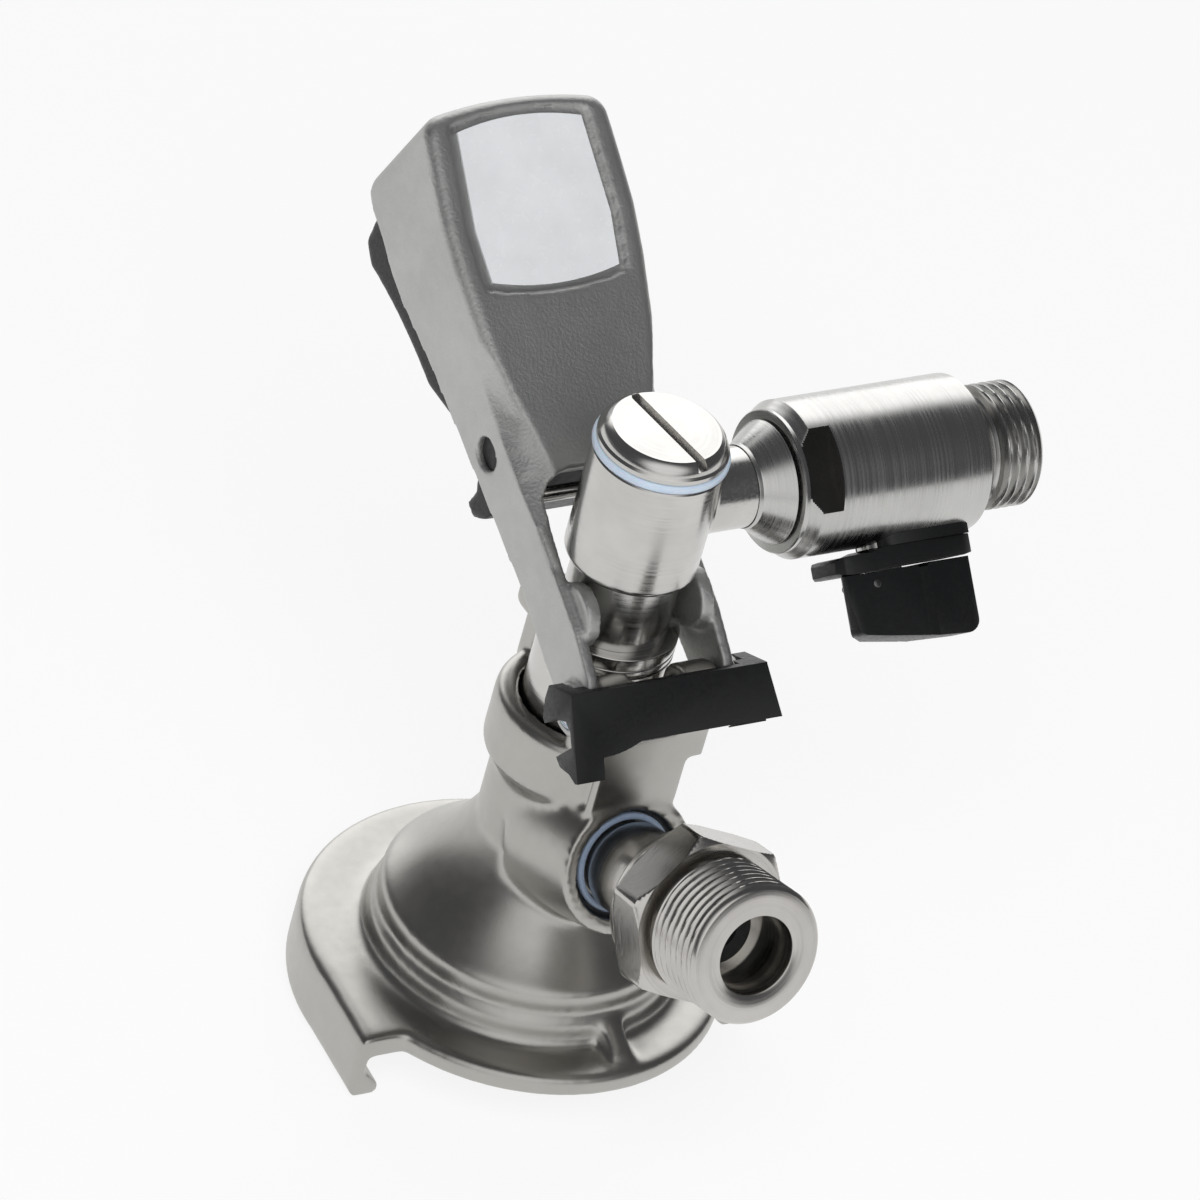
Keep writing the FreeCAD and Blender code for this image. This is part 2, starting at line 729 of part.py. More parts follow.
def make_probe_rings():
    ring = new_body("swivel_ring")
    turned(ring, "ring", "XZ_Plane", [
        ("NeckSpigotRadius + SeatGap", "PlungerTop + SeatGap"),
        ("PlungerRadius - RingRound", "PlungerTop + SeatGap"),
        ("PlungerRadius", "PlungerTop + SeatGap + RingRound"),
        ("PlungerRadius", "RingTop - RingRound"),
        ("PlungerRadius - RingRound", "RingTop"),
        ("NeckSpigotRadius + SeatGap", "RingTop"),
    ], "V_Axis")
    for name, centre in zip(("upper", "lower"), ORING_PLACES):
        oring = new_body("probe_oring_" + name)
        sketch = draw(oring, "section", "XZ_Plane", [(
            "circle", "PlungerRadius - OringThickness / 2 + RunGap + 0.02", centre,
            "OringThickness / 2 - 0.02")])
        feature = oring.newObject("PartDesign::Revolution", "oring")
        feature.Profile = sketch
        feature.ReferenceAxis = (sketch, ["V_Axis"])
        feature.Angle = 360
    seal = new_body("probe_seal")
    turned(seal, "seal", "XZ_Plane", [
        ("ProbeSealWaist + SeatGap", "ProbeSealFoot + ProbeSealHeight - SeatGap"),
        ("ProbeSealWaist + SeatGap", "ProbeSealFoot"),
        ("ProbeSealRadius - 2.2", "ProbeSealFoot"),
        ("ProbeSealRadius", "ProbeSealFoot + 1.8"),
        ("ProbeSealRadius - 0.8", "ProbeSealFoot + ProbeSealHeight - SeatGap"),
    ], "V_Axis")
    doc.recompute()


make_plunger()
make_probe_rings()


# Elbow with its cap, seal and check ball

def make_elbow():
    body = new_body("elbow")
    turned(body, "shell", "XZ_Plane", [
        ("BeerBoreRadius", "RingTop - NeckSpigotLength"),
        ("NeckSpigotRadius", "RingTop - NeckSpigotLength"),
        ("NeckSpigotRadius", "RingTop + SeatGap"),
        ("NeckRadius", "RingTop + SeatGap"),
        ("NeckRadius", "ElbowFoot"),
        ("ElbowRadius - ElbowFootRound", "ElbowFoot", "ElbowFootRound", 1),
        ("ElbowRadius", "ElbowFoot + ElbowFootRound"),
        ("ElbowRadius", "ElbowTop - 0.4"),
        ("ElbowRadius - 0.4", "ElbowTop"),
        ("CapPlugRadius + SeatGap", "ElbowTop"),
        ("CapPlugRadius + SeatGap", "ElbowTop - CapPlugLength - 0.4"),
        ("ChamberRadius", "ElbowTop - CapPlugLength - 0.4"),
        ("ChamberRadius", "ChamberFoot + 1.6"),
        ("BeerBoreRadius", "ChamberFoot"),
    ], "V_Axis")
    pad(body, "stub", "YZ_Plane", [("circle", "0", "OutletHeight", "StubRadius")],
        "StubEnd - CapPlugRadius - 1", offset="CapPlugRadius + 1")
    pocket(body, "stub_bore", "YZ_Plane", [("circle", "0", "OutletHeight", "StubBore")],
           "StubEnd + 1", back=True)
    soften(body, "stub_root", "1.2", on_stub_root)
    return body


def on_stub_root(edge):
    """Where the stub meets the elbow's wall."""
    box = edge.BoundBox
    tall = abs((box.ZMax - box.ZMin) - 2 * num("StubRadius")) < 0.4
    return tall and box.XMin > num("StubRadius") and box.XMax < num("ElbowRadius") + 0.1


def make_cap():
    cap = new_body("cap_screw")
    turned(cap, "cap", "XZ_Plane", [
        ("0", "ElbowTop - CapPlugLength"),
        ("CapPlugRadius", "ElbowTop - CapPlugLength"),
        ("CapPlugRadius", "ElbowTop + CapSealHeight + SeatGap"),
        ("CapRimRadius", "ElbowTop + CapSealHeight + SeatGap"),
        ("CapRimRadius", "CapEdge - 0.5"),
        ("CapRimRadius - 0.4", "CapEdge", "3.2", 1),
        ("CapTopRadius", "CapTop"),
        ("0", "CapTop"),
    ], "V_Axis")
    slot = pocket(cap, "slot", "XY_Plane", [[
        ("-CapSlotWidth / 2", "-CapRimRadius - 1"),
        ("CapSlotWidth / 2", "-CapRimRadius - 1"),
        ("CapSlotWidth / 2", "CapRimRadius + 1"),
        ("-CapSlotWidth / 2", "CapRimRadius + 1"),
    ]], "CapSlotDepth", offset="CapTop")
    turn = Rotation(Vector(0, 0, 1), num("CapSlotTurn"))
    slot.Profile[0].AttachmentOffset = Placement(Vector(0, 0, num("CapTop")), turn)
    slot.Profile[0].setExpression("AttachmentOffset.Rotation.Angle", ref("CapSlotTurn * 1 deg"))
    seal = new_body("cap_seal_ring")
    turned(seal, "seal", "XZ_Plane", [
        ("CapPlugRadius + SeatGap", "ElbowTop + SeatGap"),
        ("CapSealRadius - 0.4", "ElbowTop + SeatGap"),
        ("CapSealRadius", "ElbowTop + 0.4"),
        ("CapSealRadius", "ElbowTop + CapSealHeight - 0.4"),
        ("CapSealRadius - 0.4", "ElbowTop + CapSealHeight"),
        ("CapPlugRadius + SeatGap", "ElbowTop + CapSealHeight"),
    ], "V_Axis")
    ball = doc.addObject("Part::Sphere", "check_ball")
    ball.Label = "check_ball"
    ball.setExpression("Radius", ref("BallRadius"))
    rest = ("ChamberFoot + 1.6 + sqrt(BallRadius ^ 2 - BallSeatRadius ^ 2)"
            .replace("BallSeatRadius", "(ChamberRadius - 2.1)"))
    ball.setExpression("Placement.Base.z", ref(rest))
    doc.recompute()


make_elbow()
make_cap()


# Ball valve on the outlet, turned about the outlet's axis

def valve_body(label):
    body = new_body(label)
    seat(body, z="OutletHeight", turn="-ValveRoll")
    return body


def make_valve_tail():
    """Cone that joins the elbow's stub to the valve, with a spigot inside it."""
    body = valve_body("valve_tail")
    turned(body, "tail", "XZ_Plane", [
        ("StubEnd + SeatGap", "StubBore"),
        ("StubEnd + SeatGap", "StubRadius"),
        ("StubEnd + 0.8", "StubRadius"),
        ("ConeEnd", "ConeEndRadius"),
        ("ConeEnd + 0.3", "TailSpigotRadius"),
        ("TailSpigotEnd", "TailSpigotRadius"),
        ("TailSpigotEnd", "ValveBore"),
        ("TailSpigotEnd - 6", "ValveBore"),
        ("StubEnd + 4", "StubBore"),
    ], "H_Axis")


def make_valve_body():
    body = valve_body("valve_body")
    turned(body, "shell", "XZ_Plane", [
        ("ValveStart", "TailSpigotRadius + SeatGap"),
        ("ValveStart", "ValveRingRadius - 0.3"),
        ("ValveStart + 0.3", "ValveRingRadius"),
        ("ValveStart + ValveRingWidth", "ValveRingRadius"),
        ("ValveShoulder", "ValveRadius"),
        ("ValveEnd - ValveBevel", "ValveRadius"),
        ("ValveEnd", "ValveRadius - ValveBevel"),
        ("ValveEnd", "EndSpigotRadius + SeatGap"),
        ("BallCentre - ValveBallRadius - 0.9", "EndSpigotRadius + SeatGap"),
        ("BallCentre - ValveBallRadius - 0.9", "ValveBore"),
        ("TailSpigotEnd + SeatGap", "ValveBore"),
        ("TailSpigotEnd + SeatGap", "TailSpigotRadius + SeatGap"),
    ], "H_Axis")
    for name, side in (("upper", 1), ("lower", -1)):
        pocket(body, "flat_" + name, "XY_Plane", [[
            ("FlatStart", "-ValveRadius - 1"),
            ("FlatEnd", "-ValveRadius - 1"),
            ("FlatEnd", "ValveRadius + 1"),
            ("FlatStart", "ValveRadius + 1"),
        ]], "ValveRadius - FlatDistance + 1", offset="%d * FlatDistance" % side, back=side > 0)
    for item in body.Group:
        if item.Name.startswith("flat_") and item.TypeId == "Sketcher::SketchObject":
            turn_flat(item, 1 if "upper" in item.Name else -1)
    pocket(body, "stem_seat", "XY_Plane", [("circle", "BallCentre", "0", "StemSeatRadius")],
           "ValveRadius", offset="-StemSeatDistance")
    pocket(body, "stem_bore", "XY_Plane", [("circle", "BallCentre", "0", "StemRadius + SeatGap")],
           "ValveRadius")


def turn_flat(sketch, side):
    """Stands the wrench flats square to the stem, on the front and the back."""
    sketch.AttachmentOffset = Placement(
        Vector(0, -side * num("FlatDistance"), 0), Rotation(Vector(1, 0, 0), 90))
    sketch.setExpression("AttachmentOffset.Base.y", ref("%d * FlatDistance" % -side))
    sketch.setExpression("AttachmentOffset.Base.z", None)
    doc.recompute()


def make_valve_inside():
    end = valve_body("valve_end_fitting")
    turned(end, "end", "XZ_Plane", [
        ("BallCentre + ValveBallRadius + 0.5", "ValveBore"),
        ("BallCentre + ValveBallRadius + 0.5", "EndSpigotRadius"),
        ("ValveEnd", "EndSpigotRadius"),
        ("ValveEnd", "EndReliefRadius"),
        ("ValveEnd + EndReliefLength", "EndReliefRadius"),
        ("ValveEnd + EndReliefLength + EndThreadBevel", "EndThreadRadius"),
        ("OutletEnd - EndThreadBevel", "EndThreadRadius"),
        ("OutletEnd", "EndThreadRadius - EndThreadBevel"),
        ("OutletEnd", "ValveBore + 0.6"),
        ("OutletEnd - 0.6", "ValveBore"),
    ], "H_Axis")
    for name, side in (("inner", -1), ("outer", 1)):
        ring = valve_body("valve_seat_" + name)
        cup = "sqrt(ValveBallRadius ^ 2 - (%s) ^ 2) + SeatGap"
        turned(ring, "seat", "XZ_Plane", [
            ("BallCentre + %d * (%s)" % (side, cup % "ValveBore"), "ValveBore"),
            ("BallCentre + %d * (ValveBallRadius + 0.4)" % side, "ValveBore"),
            ("BallCentre + %d * (ValveBallRadius + 0.4)" % side, "EndSpigotRadius - SeatGap"),
            ("BallCentre + %d * (%s)" % (side, cup % "(ValveBallRadius - 1.2)"),
             "EndSpigotRadius - SeatGap"),
            ("BallCentre + %d * (%s)" % (side, cup % "(ValveBallRadius - 1.2)"),
             "ValveBallRadius - 1.2", "ValveBallRadius + SeatGap", -side),
        ], "H_Axis")
    ball = valve_body("valve_ball")
    turned(ball, "ball", "XZ_Plane", [
        ("BallCentre - sqrt(ValveBallRadius ^ 2 - ValveBore ^ 2)", "ValveBore",
         "ValveBallRadius", -1),
        ("BallCentre", "ValveBallRadius", "ValveBallRadius", -1),
        ("BallCentre + sqrt(ValveBallRadius ^ 2 - ValveBore ^ 2)", "ValveBore"),
    ], "H_Axis")
    pocket(ball, "key_slot", "XZ_Plane", [[
        ("BallCentre - StemRadius - 1", "-ValveBallRadius - 1"),
        ("BallCentre + StemRadius + 1", "-ValveBallRadius - 1"),
        ("BallCentre + StemRadius + 1", "-ValveBallRadius + 1.6"),
        ("BallCentre - StemRadius - 1", "-ValveBallRadius + 1.6"),
    ]], "3.2", both=True)


def make_lever():
    stem = valve_body("valve_stem")
    pad(stem, "stem", "XY_Plane", [("circle", "BallCentre", "0", "StemRadius")],
        "LeverTop - ValveBallRadius - 0.2", offset="-LeverTop")
    pad(stem, "key", "XY_Plane", [[
        ("BallCentre - StemRadius + 0.6", "-1.5"),
        ("BallCentre + StemRadius - 0.6", "-1.5"),
        ("BallCentre + StemRadius - 0.6", "1.5"),
        ("BallCentre - StemRadius + 0.6", "1.5"),
    ]], "LeverTop - ValveBallRadius + 1.3", offset="-LeverTop")
    pad(stem, "square", "XY_Plane", [[
        ("BallCentre - 2.4", "-2.4"),
        ("BallCentre + 2.4", "-2.4"),
        ("BallCentre + 2.4", "2.4"),
        ("BallCentre - 2.4", "2.4"),
    ]], "LeverPlateThickness", offset="-LeverTop", back=True)
    nut = valve_body("stem_gland")
    turned(nut, "gland", "XZ_Plane", [
        ("BallCentre", "-StemSeatDistance - SeatGap"),
        ("BallCentre + StemSeatRadius - SeatGap", "-StemSeatDistance - SeatGap"),
        ("BallCentre + StemSeatRadius - SeatGap", "-LeverTop + 0.3"),
        ("BallCentre", "-LeverTop + 0.3"),
    ], "V_Axis")
    shift_turning_axis(nut)
    lever = valve_body("valve_lever")
    pad(lever, "plate", "XY_Plane", [lever_plan("LeverPlateStart", "LeverHalfWidth")],
        "LeverPlateThickness", offset="-LeverTop - LeverPlateThickness")
    pad(lever, "grip", "XY_Plane", [lever_plan("GripStart", "LeverHalfWidth - 0.3")],
        "GripFoot - LeverTop", offset="-GripFoot")
    pocket(lever, "square", "XY_Plane", [[
        ("BallCentre - 2.4 - SeatGap", "-2.4 - SeatGap"),
        ("BallCentre + 2.4 + SeatGap", "-2.4 - SeatGap"),
        ("BallCentre + 2.4 + SeatGap", "2.4 + SeatGap"),
        ("BallCentre - 2.4 - SeatGap", "2.4 + SeatGap"),
    ]], "LeverPlateThickness + SeatGap", offset="-LeverTop")
    pocket(lever, "pin_hole", "XZ_Plane", [
        ("circle", "LeverPinAt", "-LeverTop - LeverPlateThickness - 1.4", "LeverPinRadius + SeatGap")],
        "2 * LeverHalfWidth + 2", both=True)
    soften(lever, "grip_foot", "GripRound", on_grip_foot)
    pin = valve_body("lever_pin")
    pad(pin, "pin", "XZ_Plane", [
        ("circle", "LeverPinAt", "-LeverTop - LeverPlateThickness - 1.4", "LeverPinRadius")],
        "2 * LeverHalfWidth - 0.8", both=True)


def lever_plan(start, half):
    """Plan of the lever: a blunt end at the elbow side and a folded end at the thread side."""
    return [
        (start, "-(%s) + 1.5" % half),
        ("%s + 1.5" % start, "-(%s)" % half),
        ("LeverPlateEnd - 9", "-(%s)" % half),
        ("LeverPlateEnd", "-(%s) + 3.2" % half),
        ("LeverPlateEnd", "(%s) - 3.2" % half),
        ("LeverPlateEnd - 9", half),
        ("%s + 1.5" % start, half),
        (start, "(%s) - 1.5" % half),
    ]


def on_grip_foot(edge):
    """Lower corner of the grip at the elbow side, across it."""
    box = edge.BoundBox
    low = abs(box.ZMax - num("-GripFoot")) < 0.01
    return low and box.XMax < num("GripStart") + 0.01 and box.YMax - box.YMin > 3


def shift_turning_axis(body):
    """The gland turns about the stem, not about the body's own axis."""
    for item in body.Group:
        if item.TypeId == "PartDesign::Revolution":
            line = item.Profile[0].addGeometry(Part.LineSegment(
                Vector(num("BallCentre"), 0, 0), Vector(num("BallCentre"), 1, 0)), True)
            sketch = item.Profile[0]
            for end, height in ((1, 0.0), (2, 1.0)):
                index = sketch.addConstraint(Sketcher.Constraint(
                    "DistanceX", -1, 1, line, end, num("BallCentre")))
                sketch.setExpression("Constraints[%d]" % index, ref("BallCentre"))
                sketch.addConstraint(Sketcher.Constraint("DistanceY", -1, 1, line, end, height))
            item.ReferenceAxis = (sketch, ["Axis0"])
    doc.recompute()
    pocket(body, "stem_hole", "XY_Plane", [("circle", "BallCentre", "0", "StemRadius + SeatGap")],
           "LeverTop + 1", back=False)


make_valve_tail()
make_valve_body()
make_valve_inside()
make_lever()


# Gas inlet fitting, its seal and its check valve

def gas_body(label):
    body = new_body(label)
    seat(body, z="GasAxisHeight", turn="-GasTilt")
    return body


def make_gas_fitting():
    body = gas_body("gas_inlet_fitting")
    turned(body, "fitting", "XY_Plane", [
        ("GasPassRadius", "-(GasBossFace - GasTapDepth + 0.6)"),
        ("GasTapRadius - SeatGap", "-(GasBossFace - GasTapDepth + 0.6)"),
        ("GasTapRadius - SeatGap", "-(GasBossFace - GasSeatDepth + 0.2)"),
        ("GasTapRadius - 0.3", "-(GasBossFace - GasSeatDepth + 0.2)"),
        ("GasTapRadius - 0.3", "-(GasBossFace + 0.2)"),
        ("GasNeckRadius", "-(GasBossFace + 0.2)"),
        ("GasNeckRadius", "-(GasHexBack + 1)"),
        ("GasReliefRadius", "-(GasHexBack + 1)"),
        ("GasReliefRadius", "-(GasHexFront + GasReliefLength)"),
        ("GasThreadRadius", "-(GasHexFront + GasReliefLength + GasThreadRadius - GasReliefRadius)"),
        ("GasThreadRadius", "-(GasFace - GasThreadRadius + GasFaceRadius)"),
        ("GasFaceRadius", "-GasFace"),
        ("GasBoreRadius", "-GasFace"),
        ("GasBoreRadius", "-(GasFace - GasBoreDepth)"),
        ("GasShoulderRadius", "-(GasFace - GasBoreDepth)"),
        ("GasShoulderRadius", "-(GasFace - GasBoreDepth - 1.5)"),
        ("GasPassRadius", "-(GasFace - GasBoreDepth - 1.5)"),
    ], "V_Axis")
    corners = []
    for k in range(6):
        angle = "(%d + GasHexTurn) * 1 deg" % (90 + 60 * k)
        corners.append(("GasHexRadius * cos(%s)" % angle, "GasHexRadius * sin(%s)" % angle))
    pad(body, "hexagon", "XZ_Plane", [corners, ("circle", "0", "0", "GasReliefRadius - 1")],
        "GasHexFront - GasHexBack", offset="GasHexBack")
    seal = gas_body("gas_seal_ring")
    turned(seal, "seal", "XY_Plane", [
        ("GasTapRadius + SeatGap", "-(GasBossFace - GasSeatDepth + SeatGap)"),
        ("GasSealRadius", "-(GasBossFace - GasSeatDepth + SeatGap)"),
        ("GasSealRadius", "-(GasBossFace - GasSeatDepth + GasSealWidth - 0.3)"),
        ("GasSealRadius - 0.3", "-(GasBossFace - GasSeatDepth + GasSealWidth)"),
        ("GasTapRadius + SeatGap", "-(GasBossFace - GasSeatDepth + GasSealWidth)"),
    ], "V_Axis")
    check = gas_body("gas_check_valve")
    face = "(GasFace - GasBoreDepth)"
    turned(check, "bill", "XY_Plane", [
        ("GasCheckLip", "-(%s - GasCheckLength)" % face),
        ("GasPassRadius - SeatGap - 1", "-(%s - GasCheckLength + 1)" % face),
        ("GasPassRadius - SeatGap", "-(%s - GasCheckLength + 3)" % face),
        ("GasPassRadius - SeatGap", "-(%s - 1.5 - SeatGap)" % face),
        ("GasPassRadius - SeatGap", "-(%s - 1.5 + SeatGap)" % face),
        ("GasShoulderRadius - SeatGap", "-(%s - 1.5 + SeatGap)" % face),
        ("GasShoulderRadius - SeatGap", "-(%s)" % face),
        ("GasPassRadius - 1.2", "-(%s)" % face),
        ("GasCheckLip", "-(%s - GasCheckLength + 2)" % face),
    ], "V_Axis")


make_gas_fitting()


# Handle, made lying along Y and turned up about the hinge

def handle_body(label):
    body = new_body(label)
    seat(body, y="HingeY", z="HingeZ", turn="HandleAngle")
    return body


def handle_side():
    """Side view: plates that are deep at the grip and taper to the arms."""
    return [
        ("0", "FaceHeight"),
        ("HandleLength + 8", "FaceHeight"),
        ("HandleLength + 8", "-GripDepth + 1.4"),
        ("HandleMaxAt + 11", "-GripDepth + 0.3", "40", 1),
        ("HandleMaxAt - 2", "-GripDepth + 2.1"),
        ("HandleWaistAt + 7", "-0.768 * GripDepth"),
        ("HandleWaistAt + 1", "-0.75 * GripDepth"),
        ("CrotchAt - 2.6", "-0.564 * GripDepth"),
        ("ArmKnee", "-0.432 * GripDepth"),
        ("0.24 * CrotchAt", "-0.345 * GripDepth"),
        ("0", "-EyeRadius"),
    ]


def handle_plan(start, end, end_half, inset="0"):
    """Closed plan outline, symmetric about the handle's middle, inset from the outer faces."""
    right = [
        ("ArmOuter - %s" % inset, start),
        ("ArmOuter - %s" % inset, "ArmKnee"),
        ("HandleWaistHalf - %s" % inset, "HandleWaistAt"),
        ("HandleMaxHalf - 0.5 - %s" % inset, "HandleMaxAt - 9"),
        ("HandleMaxHalf - %s" % inset, "HandleMaxAt"),
        ("HandleMaxHalf - 0.4 - %s" % inset, "HandleMaxAt + 9"),
    ]
    last = ("%s - %s" % (end_half, inset), end)
    left = [("-(%s)" % x, y) for x, y in reversed(right)]
    mirrored_last = ("-(%s)" % last[0], end)
    return right + [last, mirrored_last] + left


def around():
    """A frame well outside the handle, for cuts that leave only what lies in an outline."""
    return [("3 * HandleMaxHalf", "-1.5 * HandleMaxHalf"), ("3 * HandleMaxHalf", "1.5 * HandleLength"),
            ("-3 * HandleMaxHalf", "1.5 * HandleLength"), ("-3 * HandleMaxHalf", "-1.5 * HandleMaxHalf")]


def make_handle():
    body = handle_body("handle_frame")
    pad(body, "plates", "YZ_Plane", [handle_side()], "2 * HandleMaxHalf + 2", both=True)
    outline = handle_plan("-20", "HandleLength + 14", "HandleTopHalf - 0.8")
    pocket(body, "plan", "XY_Plane", [around(), outline], "6 * HandleMaxHalf", both=True)
    cut_crown(body)
    soften(body, "corner_round", "CornerRound", on_top_corner)
    soften(body, "face_round", "FaceRound", on_face_rim)
    pocket(body, "arm_front", "YZ_Plane", [[
        ("22", "FaceHeight + 1"),
        ("22", "3.4"),
        ("CrotchAt - 9", "2.3"),
        ("CrotchAt - 6", "FaceHeight + 1"),
    ]], "2 * HandleMaxHalf", both=True)
    cut_facets(body)
    pad(body, "arm_root", "YZ_Plane", [[
        ("0", "-3"),
        ("0", "EyeRadius"),
        ("4", "EyeRadius + 0.8"),
        ("13", "EyeRadius + 0.5"),
        ("ArmKnee", "3.2"),
        ("ArmKnee", "-3"),
    ]], "2 * ArmOuter", both=True)
    pocket(body, "channel", "XY_Plane", [
        handle_plan("HandleWaistAt + 4", "GripBackEnd - WallThickness", "HandleTopHalf - 0.3",
                    inset="WallThickness")[2:-2]],
        "60", offset="FaceHeight - WallThickness")
    pocket(body, "throat", "XY_Plane", [throat_plan("WallThickness", "HandleWaistAt + 5")],
           "60", offset="ThroatRoof")
    pad(body, "eyes", "YZ_Plane", [("circle", "0", "0", "EyeRadius")], "2 * EyeOuter", both=True)
    pocket(body, "fork", "XY_Plane", [[
        ("ArmInner", "-20"),
        ("ArmInner", "CrotchAt - CrotchRound", "CrotchRound", 1),
        ("ArmInner - CrotchRound", "CrotchAt"),
        ("-ArmInner + CrotchRound", "CrotchAt", "CrotchRound", 1),
        ("-ArmInner", "CrotchAt - CrotchRound"),
        ("-ArmInner", "-20"),
    ]], "80", both=True)
    for side, name in ((1, "right"), (-1, "left")):
        pad(body, "boss_" + name, "YZ_Plane", [("circle", "BossAt", "BossHeight", "BossRadius")],
            "ArmInner - BossInner + 0.3", offset="%d * BossInner" % side, back=side < 0)
    pocket(body, "eye_holes", "YZ_Plane", [("circle", "0", "0", "HingePinRadius + 1 + SeatGap")],
           "2 * EyeOuter + 4", both=True)
    pocket(body, "trigger_holes", "YZ_Plane", [
        ("circle", "TriggerPinAt", "TriggerPinHeight", "TriggerPinRadius + SeatGap")],
        "2 * HandleMaxHalf + 4", both=True)
    pocket(body, "label_recess", "XY_Plane", [recess_outline("0")], "RecessDepth", offset="FaceHeight")


def throat_plan(inset, end):
    """Plan between the plates from the crotch to the grip, inset from the outer faces."""
    return [
        ("ArmOuter - %s" % inset, "ArmKnee - 4"),
        ("ArmOuter - %s" % inset, "ArmKnee"),
        ("HandleWaistHalf - %s" % inset, "HandleWaistAt"),
        ("HandleWaistHalf - %s" % inset, end),
        ("-(HandleWaistHalf - %s)" % inset, end),
        ("-(HandleWaistHalf - %s)" % inset, "HandleWaistAt"),
        ("-(ArmOuter - %s)" % inset, "ArmKnee"),
        ("-(ArmOuter - %s)" % inset, "ArmKnee - 4"),
    ]


def cut_crown(body):
    """Bows the top end in plan and leans it back."""
    half = "(HandleTopHalf + 2)"
    drop = "(HandleCrown * 1.2)"
    sketch = draw(body, "crown", "XY_Plane", [[
        ("-%s" % half, "HandleCrown - %s" % drop),
        ("-%s" % half, "1.5 * HandleMaxHalf"),
        (half, "1.5 * HandleMaxHalf"),
        (half, "HandleCrown - %s" % drop, "(%s ^ 2 + %s ^ 2) / (2 * %s)" % (half, drop, drop), 1),
    ]])
    sketch.AttachmentOffset = Placement(
        Vector(0, num("HandleLength"), num("FaceHeight")), Rotation(Vector(1, 0, 0), num("-EndLean")))
    sketch.setExpression("AttachmentOffset.Base.y", ref("HandleLength"))
    sketch.setExpression("AttachmentOffset.Base.z", ref("FaceHeight"))
    sketch.setExpression("AttachmentOffset.Rotation.Angle", ref("-EndLean * 1 deg"))
    cut = body.newObject("PartDesign::Pocket", "crown")
    cut.Profile = sketch
    cut.Length = num("6 * HandleMaxHalf")
    cut.setExpression("Length", ref("6 * HandleMaxHalf"))
    cut.SideType = "Symmetric"
    doc.recompute()


def recess_outline(margin):
    """Label window: straight leaning sides and bowed ends."""
    bow = "((RecessTopHalf - {m}) ^ 2 + RecessCrown ^ 2) / (2 * RecessCrown)".format(m=margin)
    return [
        ("RecessHalf - 0.9 - %s" % margin, "RecessFoot + 1.2 + %s" % margin),
        ("RecessHalf - %s" % margin, "RecessFoot + 12"),
        ("RecessTopHalf - %s" % margin, "RecessTop - %s" % margin, bow, 1),
        ("-(RecessTopHalf - %s)" % margin, "RecessTop - %s" % margin),
        ("-(RecessHalf - %s)" % margin, "RecessFoot + 12"),
        ("-(RecessHalf - 0.9 - %s)" % margin, "RecessFoot + 1.2 + %s" % margin, bow, 1),
    ]


def cut_facets(body):
    """Slanted facets between the front tongue and the arms, narrowing to the grip."""
    sections = (("CrotchAt - 9", "TongueHalf - 1", "1.9", "ArmOuter + 1"),
                ("CrotchAt - 0.5", "TongueHalf", "0.1", "ArmOuter + 1"),
                ("HandleWaistAt + 1", "TongueHalf + 6", "-3.1", "HandleWaistHalf + 0.4"),
                ("HandleWaistAt + 13", "HandleMaxHalf - 1", "FaceHeight - 0.4", "HandleMaxHalf - 0.6"))
    sketches = []
    for k, (length, top_half, low, outer) in enumerate(sections):
        sketches.append(draw(body, "facet_%d" % k, "XZ_Plane", [[
            (top_half, "FaceHeight + 0.01"),
            (outer, low),
            ("HandleMaxHalf + 6", low),
            ("HandleMaxHalf + 6", "FaceHeight + 0.01"),
        ]], offset="-(%s)" % length))
    loft = body.newObject("PartDesign::SubtractiveLoft", "facet")
    loft.Profile = sketches[0]
    loft.Sections = sketches[1:]
    loft.Ruled = True
    doc.recompute()
    mirror = body.newObject("PartDesign::Mirrored", "facet_mirrored")
    mirror.Originals = [loft]
    mirror.MirrorPlane = (plane(body, "YZ_Plane"), [""])
    body.Tip = mirror
    doc.recompute()


def on_top_corner(edge):
    """The two corners between the grip's sides and its crown."""
    box = edge.BoundBox
    at_side = abs(box.XMin + box.XMax) / 2 > num("HandleTopHalf - 1") and box.XMax - box.XMin < 0.6
    return at_side and box.YMax > num("HandleLength - 1.5") and box.ZMax - box.ZMin > 8


def on_face_rim(edge):
    """Outer rim of the grip's front face, before the facets cut into it."""
    box = edge.BoundBox
    flat = abs(box.ZMin - num("FaceHeight")) < 0.01 and abs(box.ZMax - num("FaceHeight")) < 0.01
    middle = edge.valueAt((edge.FirstParameter + edge.LastParameter) / 2)
    return flat and middle.y > 1


def make_label():
    body = handle_body("label_plate")
    pad(body, "plate", "XY_Plane", [recess_outline("LabelMargin")], "LabelThickness",
        offset="FaceHeight - RecessDepth + SeatGap")


